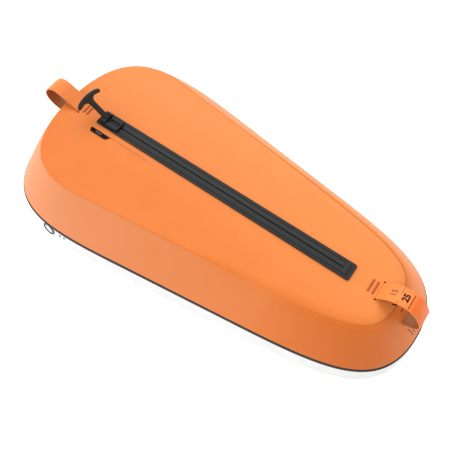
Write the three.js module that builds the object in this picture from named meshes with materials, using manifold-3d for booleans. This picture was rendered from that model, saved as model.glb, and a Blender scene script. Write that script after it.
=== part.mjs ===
// Portable defibrillator: a pale rigid base with the electronics, under a zipped
// orange cover that holds the electrode pads. Millimetres, +Z up. The origin is on
// the underside of the sole pad, at the middle of the length; +X points to the
// narrow end and -Y is the side with the power button.
import * as THREE from 'three';
import { mergeVertices } from 'three/addons/utils/BufferGeometryUtils.js';
import Module from 'manifold-3d';

const wasm = await Module();
wasm.setup();

// ---------- driving dimensions ----------
const GAP = 0.3; // air between two pieces that touch
const RIM_Z = 28; // lower edge of the orange cover
const TOP_Z = 67; // upper face of the cover
const COVER_T = 1.6; // coated fabric of the flat top
const WALL_T = 2.2; // lined fabric of the side wall
const WALL_BULGE = 1.0; // how far the side wall stands out at half height

// Half outlines, from the wide end (x0) to the narrow end (x1). A round end runs to
// the shoulder a, a straight flank runs from a to b, and the other round end closes it.
const RIM_PLAN = { x0: -198.9, x1: 198.8, a: [-40.7, 94.6], b: [44.5, 82.4], pull: [120.1, 94.0, 102.0, 63.7] };
const TOP_PLAN = { x0: -178.2, x1: 170.4, a: [-94.4, 74.0], b: [12.5, 60.7], pull: [88.7, 20.5, 144.1, 37.2] };
const WIDE_END_STEPS = 13;
const NARROW_END_STEPS = 13;

const BASE_TOP_Z = 24.3;
const BASE_BOTTOM_Z = 2.4;
const BASE_FLARE_DEG = 12; // the base wall leans out below the rim
const BASE_FLOOR_Z = 5.2;
const SOLE_T = BASE_BOTTOM_Z - GAP;
const SOLE_INSET = 6;

const HATCH = { x: -100, length: 104, width: 60, t: 1.8, hole: [92, 48], screwInset: 5 };
const BATTERY = { length: 88, width: 44, height: 26 };

const GASKET_Z = [24.6, 27.0];
const TRIM_Z = [27.3, 27.9];
const FLANGE_Z = [24.6, 26.6];
const DECK_Z = 46; // top of the electronics housing
const HOUSING_T = 2;

const ZIP = { x0: -139.7, x1: 128.3, halfWidth: 8, z: TOP_Z + 0.2, t: 1.2, openX: [-136, 124], openY: 5.2 };
const ZIP_CHAIN = { x0: -127.9, x1: 118.7, lip: 0.6, tapeY: 4.9, teethY: 2.6, teethZ: [64.2, 66.9] };
const SLIDER = { x0: -138, x1: -116, halfWidth: 6, z: [68.8, 70.8], shoeX: [-127, -113], shoeZ: [61.6, 63.8] };
const PIN = { x: -132, z: TOP_Z + 4.3, r: 0.9, halfLength: 5.2 };
const HANDLE = { tilt: 37, reach: 25.4, bar: 28, t: 3.6, stem: 5.2 };

const STRAP = { width: 16, t: 1.4 };
const WIDE_SLIT_X = -161.5;
const NARROW_SLIT_X = 153;
const TACK_STEP = 4.1; // from the slit to the first stitched bar, and on to the second
const TACK = { length: 12, width: 1.6, t: 0.7 };
const SLIT_END_R = 1.1; // round hole at each end of a slit

const BUTTON = { x: -127.6, z: 17.9, r: 5, bezel: 6.5, length: 5 };
const LENS_PLACES = [[-113.6, 18.6], [-108.3, 19.5]];
const LENS_R = 0.9;

const SHOCK = { x: -68, y: 0, r: 15, top: 47.6, bottom: 41.5 };
const INFO = { x: -118, y: 0, r: 7, top: 47.2, bottom: 42 };

const BOARD = { x0: -152, x1: -22, halfWidth: 40, z: 33.6, t: 1.6 };
const CAPACITOR = { x0: -18, x1: 62, y: -20, z: 23.5, r: 16, posts: [-26, -14], postR: 2 };
const CRADLE = { x0: 0, x1: 44, wall: 2, top: 17 };
const TRANSFORMER = { x: 6, y: 27, core: [36, 30], winding: [24, 38], top: 31 };
const HEATSINK = { x0: 34, x1: 92, y0: 8, y1: 36, plateTop: 9, top: 24, fins: 5, finPitch: 6, finT: 2.5 };
const RELAY = { x0: 104, x1: 134, y0: -12, y1: 6, top: 22 };
const SPEAKER = { x: 104, y: -34, r: 20, magnetR: 11, bottom: 8, basket: 13, top: 17 };
const SOCKET = { x0: -126, x1: -112, y: 34, halfWidth: 8, height: 10 };
const PLUG = { x1: -98, halfWidth: 6, height: 9, noseX: -119, noseHalf: 4, noseZ: [2, 7.6] };
const LABEL = { x0: -139.6, x1: -117.3, y0: -17.8, y1: -13.6, leftSlant: 1.5, rightSlant: 3.3, t: 0.5 };

const POUCH = { x0: -34, x1: 124, halfWidth: 39, z: DECK_Z + GAP, height: 9, t: 0.8 };

// ---------- solids from closed three.js geometry ----------
function solidOf(geometry) {
  const bare = geometry.clone();
  bare.deleteAttribute('normal');
  bare.deleteAttribute('uv');
  const merged = mergeVertices(bare, 1e-4);
  return new wasm.Manifold(new wasm.Mesh({
    numProp: 3,
    vertProperties: new Float32Array(merged.attributes.position.array),
    triVerts: new Uint32Array(merged.index.array),
  }));
}

function geometryOf(solid) {
  const mesh = solid.getMesh();
  const geometry = new THREE.BufferGeometry();
  geometry.setAttribute('position', new THREE.BufferAttribute(mesh.vertProperties, 3));
  geometry.setIndex(new THREE.BufferAttribute(mesh.triVerts, 1));
  geometry.computeVertexNormals();
  return geometry;
}

function joined(...geometries) {
  return geometryOf(geometries.map(solidOf).reduce((sum, next) => sum.add(next)));
}

function cut(geometry, ...tools) {
  return geometryOf(tools.map(solidOf).reduce((rest, tool) => rest.subtract(tool), solidOf(geometry)));
}

function box(x0, x1, y0, y1, z0, z1) {
  const geometry = new THREE.BoxGeometry(x1 - x0, y1 - y0, z1 - z0);
  return geometry.translate((x0 + x1) / 2, (y0 + y1) / 2, (z0 + z1) / 2);
}

function disc(x, y, r, z0, z1, sides = 20) {
  const geometry = new THREE.CylinderGeometry(r, r, z1 - z0, sides);
  return geometry.rotateX(Math.PI / 2).translate(x, y, (z0 + z1) / 2);
}

function rodAlongX(x0, x1, y, z, r, sides = 20) {
  const geometry = new THREE.CylinderGeometry(r, r, x1 - x0, sides);
  return geometry.rotateZ(Math.PI / 2).translate((x0 + x1) / 2, y, z);
}

function rodAlongY(x, z, y0, y1, r, sides = 12) {
  const geometry = new THREE.CylinderGeometry(r, r, y1 - y0, sides);
  return geometry.translate(x, (y0 + y1) / 2, z);
}

function roundedSlab(x0, x1, y0, y1, z0, z1, radius) {
  const shape = new THREE.Shape();
  shape.moveTo(x0 + radius, y0);
  shape.lineTo(x1 - radius, y0);
  shape.absarc(x1 - radius, y0 + radius, radius, -Math.PI / 2, 0, false);
  shape.lineTo(x1, y1 - radius);
  shape.absarc(x1 - radius, y1 - radius, radius, 0, Math.PI / 2, false);
  shape.lineTo(x0 + radius, y1);
  shape.absarc(x0 + radius, y1 - radius, radius, Math.PI / 2, Math.PI, false);
  shape.lineTo(x0, y0 + radius);
  shape.absarc(x0 + radius, y0 + radius, radius, Math.PI, Math.PI * 1.5, false);
  const geometry = new THREE.ExtrudeGeometry(shape, { depth: z1 - z0, bevelEnabled: false, curveSegments: 3 });
  return geometry.translate(0, 0, z0);
}

// ---------- plan outlines and lofts between them ----------
function halfPlan(plan) {
  const a = new THREE.Vector2(...plan.a);
  const b = new THREE.Vector2(...plan.b);
  const along = b.clone().sub(a).normalize();
  const wideEnd = new THREE.CubicBezierCurve(
    new THREE.Vector2(plan.x0, 0),
    new THREE.Vector2(plan.x0, plan.pull[0]),
    a.clone().addScaledVector(along, -plan.pull[1]),
    a,
  );
  const narrowEnd = new THREE.CubicBezierCurve(
    b,
    b.clone().addScaledVector(along, plan.pull[2]),
    new THREE.Vector2(plan.x1, plan.pull[3]),
    new THREE.Vector2(plan.x1, 0),
  );
  return [...wideEnd.getPoints(WIDE_END_STEPS), ...narrowEnd.getPoints(NARROW_END_STEPS)];
}

function outline(plan) {
  const half = halfPlan(plan);
  const mirrored = half.slice(1, -1).reverse().map((p) => new THREE.Vector2(p.x, -p.y));
  return [...half, ...mirrored].reverse();
}

function grown(ring, distance) {
  const count = ring.length;
  return ring.map((point, i) => {
    const before = ring[(i + count - 1) % count];
    const after = ring[(i + 1) % count];
    const tangent = after.clone().sub(before).normalize();
    return new THREE.Vector2(point.x + tangent.y * distance, point.y - tangent.x * distance);
  });
}

function between(ringA, ringB, t) {
  return ringA.map((point, i) => point.clone().lerp(ringB[i], t));
}

// An extruded plan whose rings are then moved to their own outline and height.
function loft(levels) {
  const first = levels[0].ring;
  const geometry = new THREE.ExtrudeGeometry(new THREE.Shape(first), {
    depth: levels.length - 1,
    steps: levels.length - 1,
    bevelEnabled: false,
  });
  const position = geometry.attributes.position;
  for (let v = 0; v < position.count; v += 1) {
    const here = new THREE.Vector2(position.getX(v), position.getY(v));
    const distances = first.map((point) => point.distanceToSquared(here));
    const i = distances.indexOf(Math.min(...distances));
    const level = levels[Math.round(position.getZ(v))];
    position.setXYZ(v, level.ring[i].x, level.ring[i].y, level.z);
  }
  return geometry;
}

const rimRing = outline(RIM_PLAN);
const topRing = outline(TOP_PLAN);

function coverRing(z) {
  const t = (z - RIM_Z) / (TOP_Z - RIM_Z);
  return grown(between(rimRing, topRing, t), WALL_BULGE * Math.sin(Math.PI * t));
}

function flare(z) {
  return (BASE_TOP_Z - z) * Math.tan(THREE.MathUtils.degToRad(BASE_FLARE_DEG));
}

function band(ring, outer, inner, z0, z1) {
  const body = loft([{ z: z0, ring: grown(ring, outer) }, { z: z1, ring: grown(ring, outer) }]);
  const hole = loft([{ z: z0 - 1, ring: grown(ring, inner) }, { z: z1 + 1, ring: grown(ring, inner) }]);
  return cut(body, hole);
}

// ---------- the power button's frame on the leaning base wall ----------
function wallPoint(x, z) {
  const near = grown(rimRing, flare(z)).filter((point) => point.y < 0).sort((p, q) => p.x - q.x);
  const i = near.findIndex((point) => point.x > x);
  const t = (x - near[i - 1].x) / (near[i].x - near[i - 1].x);
  const along = near[i].clone().sub(near[i - 1]).normalize();
  const lean = THREE.MathUtils.degToRad(BASE_FLARE_DEG);
  const normal = new THREE.Vector3(along.y * Math.cos(lean), -along.x * Math.cos(lean), Math.sin(lean));
  return { point: new THREE.Vector3(x, near[i - 1].y + t * (near[i].y - near[i - 1].y), z), normal };
}

function onWall(geometry, x, z) {
  const { point, normal } = wallPoint(x, z);
  const turn = new THREE.Quaternion().setFromUnitVectors(new THREE.Vector3(0, 0, 1), normal);
  return geometry.applyQuaternion(turn).translate(point.x, point.y, point.z);
}

// ---------- base ----------
function hatchHoles(r, z0, z1) {
  const dx = HATCH.length / 2 - HATCH.screwInset;
  const dy = HATCH.width / 2 - HATCH.screwInset;
  const corners = [[-1, -1], [1, -1], [1, 1], [-1, 1]];
  return corners.map(([sx, sy]) => disc(HATCH.x + sx * dx, sy * dy, r, z0, z1, 10));
}

function baseShell() {
  const outer = loft([
    { z: BASE_BOTTOM_Z, ring: grown(rimRing, -3) },
    { z: 3, ring: grown(rimRing, 0) },
    { z: 4.6, ring: grown(rimRing, 2.2) },
    { z: 7, ring: grown(rimRing, 3.2) },
    { z: 10, ring: grown(rimRing, flare(10)) },
    { z: BASE_TOP_Z, ring: rimRing },
  ]);
  const hollow = loft([
    { z: BASE_FLOOR_Z, ring: grown(rimRing, -2) },
    { z: 8, ring: grown(rimRing, 0.3) },
    { z: 19, ring: grown(rimRing, -1.6) },
    { z: 20.5, ring: grown(rimRing, -6) },
    { z: BASE_TOP_Z + 1, ring: grown(rimRing, -6) },
  ]);
  const [holeX, holeY] = HATCH.hole;
  const bay = box(HATCH.x - holeX / 2, HATCH.x + holeX / 2, -holeY / 2, holeY / 2, 0, BASE_FLOOR_Z + 1);
  const bore = onWall(disc(0, 0, BUTTON.r + 0.4, -12, 4), BUTTON.x, BUTTON.z);
  const seat = onWall(disc(0, 0, BUTTON.bezel + GAP, -1.3, 4), BUTTON.x, BUTTON.z);
  const lensHoles = LENS_PLACES.map(([x, z]) => onWall(disc(0, 0, LENS_R + GAP, -6, 4, 10), x, z));
  return cut(outer, hollow, bay, bore, seat, ...lensHoles, ...hatchHoles(1.3, 0, BASE_FLOOR_Z + 1));
}

function solePad() {
  const pad = loft([
    { z: 0, ring: grown(rimRing, -SOLE_INSET - 0.8) },
    { z: 0.8, ring: grown(rimRing, -SOLE_INSET) },
    { z: SOLE_T, ring: grown(rimRing, -SOLE_INSET) },
  ]);
  const dx = HATCH.length / 2 + 0.5;
  const dy = HATCH.width / 2 + 0.5;
  return cut(pad, box(HATCH.x - dx, HATCH.x + dx, -dy, dy, -1, SOLE_T + 1));
}

function batteryHatch() {
  const z0 = SOLE_T - HATCH.t;
  const dx = HATCH.length / 2;
  const dy = HATCH.width / 2;
  const plate = roundedSlab(HATCH.x - dx, HATCH.x + dx, -dy, dy, z0, SOLE_T, 3);
  return cut(plate, ...hatchHoles(1.3, -1, SOLE_T + 1), ...hatchHoles(2.5, -1, z0 + 1.2));
}

function hatchScrew(corner) {
  const head = hatchHoles(2.2, SOLE_T - HATCH.t + 0.1, SOLE_T - HATCH.t + 0.9)[corner];
  const shank = hatchHoles(1.0, SOLE_T - HATCH.t + 0.5, BASE_FLOOR_Z + 3)[corner];
  return joined(head, shank);
}

function buttonCap() {
  const profile = [
    [0, -BUTTON.length + 0.6],
    [BUTTON.r, -BUTTON.length + 0.6],
    [BUTTON.r, 0.2],
    [BUTTON.r - 0.5, 0.6],
    [0, 0.3],
  ];
  const geometry = new THREE.LatheGeometry(profile.map(([r, z]) => new THREE.Vector2(r, z)), 24);
  return onWall(geometry.rotateX(Math.PI / 2), BUTTON.x, BUTTON.z);
}

function buttonBezel() {
  const ring = cut(disc(0, 0, BUTTON.bezel, -1, 0.6), disc(0, 0, BUTTON.r + GAP, -2, 2));
  return onWall(ring, BUTTON.x, BUTTON.z);
}

function powerSwitch() {
  const body = disc(0, 0, BUTTON.r, -11.5, -6.6);
  const plunger = disc(0, 0, 1.5, -7, -6, 10);
  return onWall(joined(body, plunger), BUTTON.x, BUTTON.z);
}

function statusLens(x, z) {
  const rod = disc(0, 0, LENS_R, -3, 0, 10);
  const dome = new THREE.SphereGeometry(LENS_R, 10, 4);
  return onWall(joined(rod, dome), x, z);
}

// ---------- orange cover ----------
function strapPath(points) {
  return new THREE.CatmullRomCurve3(points.map(([x, z]) => new THREE.Vector3(x, TOP_Z + z, 0)), false, 'centripetal');
}

// Centre lines of the webbing: [x, height above the cover's top].
const WIDE_STRAP_POINTS = [
  [-143.5, -2.7], [-158.6, -2.7], [-161.0, -1.6], [-162.6, 0.6], [-168.5, 2.6], [-177, 6.4], [-184, 9.2],
  [-190, 9.8], [-196, 7.4], [-201.4, 2.4], [-205, -4.4], [-204.6, -11.2], [-199.6, -16.4], [-191, -19.6], [-182.5, -21.4],
];
const NARROW_STRAP_POINTS = [
  [135, -2.7], [149.6, -2.7], [152.2, -1.6], [153.8, 0.6], [157.4, 5.6], [162.4, 10.4], [167.3, 12.9], [172.8, 13.8],
  [178.8, 13.1], [184.4, 9.9], [188.6, 4.8], [191.6, -0.4], [192.8, -5.8], [190.4, -10.6], [184.2, -13.4], [175.5, -15.2],
];
const STRAP_STEPS = 28;

function strapOutline(points, thickness) {
  const curve = strapPath(points);
  const upper = [];
  const lower = [];
  for (let i = 0; i <= STRAP_STEPS; i += 1) {
    const point = curve.getPointAt(i / STRAP_STEPS);
    const tangent = curve.getTangentAt(i / STRAP_STEPS);
    const side = new THREE.Vector2(-tangent.y, tangent.x).multiplyScalar(thickness / 2);
    upper.push(new THREE.Vector2(point.x + side.x, point.y + side.y));
    lower.push(new THREE.Vector2(point.x - side.x, point.y - side.y));
  }
  return [...upper, ...lower.reverse()];
}

function strap(points, thickness, width) {
  const shape = new THREE.Shape(strapOutline(points, thickness));
  const geometry = new THREE.ExtrudeGeometry(shape, { depth: width, bevelEnabled: false });
  return geometry.rotateX(Math.PI / 2).translate(0, width / 2, 0);
}

function strapClearance(points) {
  return strap(points, STRAP.t + 2 * GAP, STRAP.width + 2 * GAP);
}

function slitEnds(x) {
  return [-1, 1].map((side) => disc(x, side * (STRAP.width / 2 + 0.4), SLIT_END_R, TOP_Z - 5, TOP_Z + 2, 10));
}

function coverTop() {
  const plate = loft([
    { z: TOP_Z - COVER_T, ring: coverRing(TOP_Z - COVER_T) },
    { z: TOP_Z, ring: topRing },
  ]);
  const [slotX0, slotX1] = ZIP.openX;
  const slot = box(slotX0 + 2, slotX1 - 2, -4.6, 4.6, TOP_Z - 5, TOP_Z + 5);
  return cut(
    plate,
    slot,
    strapClearance(WIDE_STRAP_POINTS),
    strapClearance(NARROW_STRAP_POINTS),
    ...slitEnds(WIDE_SLIT_X),
    ...slitEnds(NARROW_SLIT_X),
  );
}

function coverWall() {
  const bottom = RIM_Z + 0.2;
  const top = TOP_Z - COVER_T - GAP;
  const heights = [0, 1 / 3, 2 / 3, 1].map((t) => bottom + t * (top - bottom));
  const outer = loft(heights.map((z) => ({ z, ring: coverRing(z) })));
  const spread = [heights[0] - 1, heights[1], heights[2], heights[3] + 1];
  const hollow = loft(spread.map((z) => ({ z, ring: grown(coverRing(z), -WALL_T) })));
  return cut(outer, hollow, strapClearance(WIDE_STRAP_POINTS), strapClearance(NARROW_STRAP_POINTS));
}

function seamTape() {
  const z = TOP_Z - COVER_T - GAP - 0.5;
  const ring = grown(coverRing(z + 0.5), -WALL_T - 2 * GAP);
  const body = band(ring, 0, -6, z, z + 0.5);
  return cut(body, strapClearance(WIDE_STRAP_POINTS), strapClearance(NARROW_STRAP_POINTS));
}

function tackBar(x) {
  return roundedSlab(
    x - TACK.width / 2, x + TACK.width / 2,
    -TACK.length / 2, TACK.length / 2,
    TOP_Z + 0.1, TOP_Z + 0.1 + TACK.t,
    0.5,
  );
}

function labelPlate() {
  const shape = new THREE.Shape();
  shape.moveTo(LABEL.x0 + LABEL.leftSlant, LABEL.y0);
  shape.lineTo(LABEL.x1 - LABEL.rightSlant, LABEL.y0);
  shape.lineTo(LABEL.x1, LABEL.y1);
  shape.lineTo(LABEL.x0, LABEL.y1);
  shape.closePath();
  const geometry = new THREE.ExtrudeGeometry(shape, { depth: LABEL.t, bevelEnabled: false });
  return geometry.translate(0, 0, TOP_Z + 0.1);
}

// ---------- zip ----------
function zipFrame() {
  const border = roundedSlab(ZIP.x0, ZIP.x1, -ZIP.halfWidth, ZIP.halfWidth, ZIP.z, ZIP.z + ZIP.t, 1.8);
  return cut(border, box(ZIP.openX[0], ZIP.openX[1], -ZIP.openY, ZIP.openY, TOP_Z - 1, TOP_Z + 5));
}

function zipTape(side) {
  const y0 = side * ZIP_CHAIN.lip;
  const y1 = side * ZIP_CHAIN.tapeY;
  return box(ZIP_CHAIN.x0, ZIP_CHAIN.x1, Math.min(y0, y1), Math.max(y0, y1), ZIP.z, ZIP.z + 1);
}

function zipTeeth(side) {
  const [z0, z1] = ZIP_CHAIN.teethZ;
  const y0 = side * ZIP_CHAIN.lip;
  const y1 = side * ZIP_CHAIN.teethY;
  return box(ZIP_CHAIN.x0 + 0.5, ZIP_CHAIN.x1 - 0.5, Math.min(y0, y1), Math.max(y0, y1), z0, z1);
}

function zipDock() {
  return box(ZIP.openX[0] + GAP, ZIP_CHAIN.x0 - GAP, -ZIP_CHAIN.tapeY, ZIP_CHAIN.tapeY, ZIP.z, ZIP.z + ZIP.t);
}

function zipStop() {
  return box(ZIP_CHAIN.x1 + GAP, ZIP.openX[1] - GAP, -ZIP_CHAIN.tapeY, ZIP_CHAIN.tapeY, ZIP.z, ZIP.z + 1.6);
}

function zipSlider() {
  const [z0, z1] = SLIDER.z;
  const [shoe0, shoe1] = SLIDER.shoeX;
  const [shoeZ0, shoeZ1] = SLIDER.shoeZ;
  const plate = roundedSlab(SLIDER.x0, SLIDER.x1, -SLIDER.halfWidth, SLIDER.halfWidth, z0, z1, 2);
  const cheeks = [-1, 1].map((side) => {
    const y = [side * 3.3, side * 5.6].sort((p, q) => p - q);
    return box(PIN.x - 2.4, PIN.x + 2.4, y[0], y[1], z1 - 1, PIN.z + 1.7);
  });
  const post = box(shoe0 + 2, shoe0 + 7, -0.3, 0.3, shoeZ0 + 1, z0 + 1);
  const shoe = roundedSlab(shoe0, shoe1, -4.2, 4.2, shoeZ0, shoeZ1, 2);
  const body = joined(plate, ...cheeks, post, shoe);
  const notch = box(SLIDER.x0 - 1, PIN.x + 4, -3.2, 3.2, z0 - 1, PIN.z + 6);
  const recess = roundedSlab(PIN.x + 4.8, SLIDER.x1 - 1.6, -1.9, 1.9, z1 - 0.8, z1 + 1, 1);
  const bore = rodAlongY(PIN.x, PIN.z, -9, 9, PIN.r + GAP);
  return cut(body, notch, recess, bore);
}

function handlePin() {
  return rodAlongY(PIN.x, PIN.z, -PIN.halfLength, PIN.halfLength, PIN.r);
}

// The T is drawn flat, with its pivot at the origin and its bar at +X, then tilted.
function zipHandle() {
  const bar = HANDLE.bar / 2;
  const reach = HANDLE.reach;
  const stem = HANDLE.stem / 2;
  const shape = new THREE.Shape();
  shape.moveTo(-1.6, -stem);
  shape.lineTo(reach - 7.5, -stem);
  shape.quadraticCurveTo(reach - 4.2, -stem - 0.4, reach - 3.6, -6.4);
  shape.quadraticCurveTo(reach - 4.0, -bar + 4, reach - 4.9, -bar + 2.4);
  shape.quadraticCurveTo(reach - 5.2, -bar, reach - 2.8, -bar);
  shape.quadraticCurveTo(reach - 0.9, -bar + 0.6, reach + 0.3, -bar + 5);
  shape.quadraticCurveTo(reach + 2.4, 0, reach + 0.3, bar - 5);
  shape.quadraticCurveTo(reach - 0.9, bar - 0.6, reach - 2.8, bar);
  shape.quadraticCurveTo(reach - 5.2, bar, reach - 4.9, bar - 2.4);
  shape.quadraticCurveTo(reach - 4.0, bar - 4, reach - 3.6, 6.4);
  shape.quadraticCurveTo(reach - 4.2, stem + 0.4, reach - 7.5, stem);
  shape.lineTo(-1.6, stem);
  shape.closePath();
  const settings = { depth: HANDLE.t, bevelEnabled: false, curveSegments: 5 };
  const flat = new THREE.ExtrudeGeometry(shape, settings).translate(0, 0, -HANDLE.t / 2);
  const bored = cut(flat, rodAlongY(0, 0, -9, 9, PIN.r + GAP));
  const tilt = THREE.MathUtils.degToRad(HANDLE.tilt);
  return bored.rotateZ(Math.PI).rotateY(tilt).translate(PIN.x, 0, PIN.z);
}

// ---------- electronics and pads under the cover ----------
function upperHousing() {
  const dome = loft([
    { z: FLANGE_Z[0], ring: grown(rimRing, -14) },
    { z: DECK_Z - 2.5, ring: grown(topRing, -12) },
    { z: DECK_Z, ring: grown(topRing, -15) },
  ]);
  const flange = loft([{ z: FLANGE_Z[0], ring: grown(rimRing, -3) }, { z: FLANGE_Z[1], ring: grown(rimRing, -3) }]);
  const hollow = loft([
    { z: FLANGE_Z[0] - 1, ring: grown(rimRing, -16) },
    { z: DECK_Z - 4, ring: grown(topRing, -15) },
    { z: DECK_Z - HOUSING_T, ring: grown(topRing, -17) },
  ]);
  return cut(
    joined(dome, flange),
    hollow,
    disc(SHOCK.x, SHOCK.y, SHOCK.r + 0.4, DECK_Z - 6, DECK_Z + 6, 32),
    disc(INFO.x, INFO.y, INFO.r + 0.4, DECK_Z - 6, DECK_Z + 6, 24),
  );
}

function deckButton(place, lip) {
  const stem = disc(place.x, place.y, place.r, place.bottom, place.top, 24);
  const collar = disc(place.x, place.y, place.r + lip, place.bottom - 1.2, place.bottom + 0.2, 24);
  return joined(stem, collar);
}

function mainBoard() {
  const face = BOARD.z + BOARD.t;
  const board = box(BOARD.x0, BOARD.x1, -BOARD.halfWidth, BOARD.halfWidth, BOARD.z, face);
  const processor = box(BOARD.x0 + 2, BOARD.x0 + 16, -8, 8, face - 0.2, face + 1.8);
  const shockSwitch = box(SHOCK.x - 4, SHOCK.x + 4, -4, 4, face - 0.2, face + 2.2);
  const infoSwitch = box(INFO.x - 3, INFO.x + 3, -3, 3, face - 0.2, face + 2.8);
  const driver = box(BOARD.x1 - 24, BOARD.x1 - 8, 14, 34, face - 0.2, face + 3.3);
  const header = box(HATCH.x, HATCH.x + 24, 26, 34, face - 0.2, face + 5.8);
  return joined(board, processor, shockSwitch, infoSwitch, driver, header);
}

function highVoltageCapacitor() {
  const { x0, x1, y, z, r, posts, postR } = CAPACITOR;
  const can = rodAlongX(x0, x1, y, z, r, 28);
  const end = rodAlongX(x1 - 1, x1 + 3, y, z, r - 1.5, 28);
  const terminals = posts.map((postY) => rodAlongX(x1 + 2, x1 + 8, postY, z, postR, 10));
  return joined(can, end, ...terminals);
}

function capacitorCradle() {
  const { y, z, r } = CAPACITOR;
  const half = r + CRADLE.wall;
  const block = box(CRADLE.x0, CRADLE.x1, y - half, y + half, BASE_FLOOR_Z + GAP, CRADLE.top);
  return cut(block, rodAlongX(CRADLE.x0 - 5, CRADLE.x1 + 6, y, z, r + GAP, 28));
}

function chargeTransformer() {
  const { x, y, top } = TRANSFORMER;
  const bottom = BASE_FLOOR_Z + GAP;
  const [coreX, coreY] = TRANSFORMER.core.map((size) => size / 2);
  const [windingX, windingY] = TRANSFORMER.winding.map((size) => size / 2);
  const core = box(x - coreX, x + coreX, y - coreY, y + coreY, bottom, top);
  const winding = box(x - windingX, x + windingX, y - windingY, y + windingY, bottom + 3.7, top - 4);
  return joined(core, winding);
}

function bridgeHeatsink() {
  const { x0, x1, y0, y1, plateTop, top, fins, finPitch, finT } = HEATSINK;
  const plate = box(x0, x1, y0, y1, BASE_FLOOR_Z + GAP, plateTop);
  const row = Array.from({ length: fins }, (_, i) => y0 + finPitch * i);
  return joined(plate, ...row.map((y) => box(x0, x1, y, y + finT, plateTop - 1, top)));
}

function relayCan() {
  return roundedSlab(RELAY.x0, RELAY.x1, RELAY.y0, RELAY.y1, BASE_FLOOR_Z + GAP, RELAY.top, 1.5);
}

function speaker() {
  const { x, y, r, magnetR, bottom, basket, top } = SPEAKER;
  return joined(disc(x, y, magnetR, bottom, basket, 24), disc(x, y, r, basket - 0.2, top, 28));
}

function batteryPack() {
  const dx = BATTERY.length / 2;
  const dy = BATTERY.width / 2;
  const z0 = SOLE_T + 0.6;
  return roundedSlab(HATCH.x - dx, HATCH.x + dx, -dy, dy, z0, z0 + BATTERY.height, 4);
}

function padPouch() {
  const { x0, x1, halfWidth, z, height, t } = POUCH;
  const skin = roundedSlab(x0, x1, -halfWidth, halfWidth, z, z + height, 6);
  const inside = roundedSlab(x0 + 5, x1 - 5, -halfWidth + 4, halfWidth - 4, z + t, z + height - t, 5);
  const mouth = box(x0 - 1, x0 + 6, -9, 9, z + 2.2, z + 8);
  return cut(skin, inside, mouth);
}

function electrodePad(level) {
  const z0 = POUCH.z + POUCH.t + GAP + level * 2.6;
  return roundedSlab(POUCH.x0 + 22, POUCH.x1 - 10, -32, 32, z0, z0 + 2.2, 12);
}

const LEAD_R = 2.2;
const LEAD_POINTS = [
  [-17, 0, 51.8], [-26, 0, 51.6], [-37, 1.5, 51], [-44, 8, 49.6], [-50, 20, 48.9], [-60, 29, 48.8], [-74, 33, 48.9],
  [-90, 34, 50.2], [-98, 34, 50.6],
];

function padLead() {
  const route = new THREE.CatmullRomCurve3(LEAD_POINTS.map((p) => new THREE.Vector3(...p)), false, 'centripetal');
  const section = new THREE.Shape();
  section.absarc(0, 0, LEAD_R, 0, Math.PI * 2, false);
  return new THREE.ExtrudeGeometry(section, { steps: 20, extrudePath: route, curveSegments: 4, bevelEnabled: false });
}

function padPlug() {
  const { x1, halfWidth, height, noseX, noseHalf, noseZ } = PLUG;
  const grip = box(
    SOCKET.x1, x1 - GAP, SOCKET.y - halfWidth, SOCKET.y + halfWidth, DECK_Z + GAP + 0.4, DECK_Z + height,
  );
  const nose = box(
    noseX, SOCKET.x1 + 1, SOCKET.y - noseHalf, SOCKET.y + noseHalf, DECK_Z + noseZ[0], DECK_Z + noseZ[1],
  );
  return joined(grip, nose);
}

function padSocket() {
  const { x0, x1, y, halfWidth, height } = SOCKET;
  const block = roundedSlab(x0, x1 - GAP, y - halfWidth, y + halfWidth, DECK_Z + GAP, DECK_Z + height, 1.5);
  const bay = PLUG.noseHalf + GAP;
  return cut(
    block,
    box(PLUG.noseX - 1, x1 + 2, y - bay, y + bay, DECK_Z + PLUG.noseZ[0] - GAP, DECK_Z + PLUG.noseZ[1] + GAP),
  );
}

// ---------- materials ----------
function finish(color, roughness, metalness = 0) {
  return new THREE.MeshStandardMaterial({ color, roughness, metalness });
}

const orangeCoating = () => finish(0xf98c4a, 0.6);
const orangeWebbing = () => finish(0xff8f55, 0.8);
const blackRubber = () => finish(0x35353a, 0.6);
const blackPlastic = () => finish(0x202024, 0.4);
const whitePlastic = () => finish(0xf2f1ee, 0.4);
const greyPlastic = () => finish(0xc4c6c8, 0.5);
const darkRubber = () => finish(0x2c2d30, 0.8);
const steel = () => finish(0xb8bcc0, 0.35, 1);
const stitching = () => finish(0xa8481c, 0.9);

// ---------- assembly ----------
const defibrillator = new THREE.Group();

function add(name, geometry, material) {
  const mesh = new THREE.Mesh(geometry, material);
  mesh.name = name;
  defibrillator.add(mesh);
}

add('sole_pad', solePad(), darkRubber());
add('base_shell', baseShell(), whitePlastic());
add('battery_hatch', batteryHatch(), greyPlastic());
[0, 1, 2, 3].forEach((corner) => add(`hatch_screw_${corner + 1}`, hatchScrew(corner), steel()));
add('button_bezel', buttonBezel(), blackPlastic());
add('power_button', buttonCap(), whitePlastic());
add('power_switch', powerSwitch(), blackPlastic());
LENS_PLACES.forEach(([x, z], i) => add(`status_lens_${i + 1}`, statusLens(x, z), blackPlastic()));
add('rim_gasket', band(rimRing, 0.9, -2.6, ...GASKET_Z), darkRubber());
add('rim_trim', band(rimRing, 0.2, -2.2, ...TRIM_Z), darkRubber());

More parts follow.
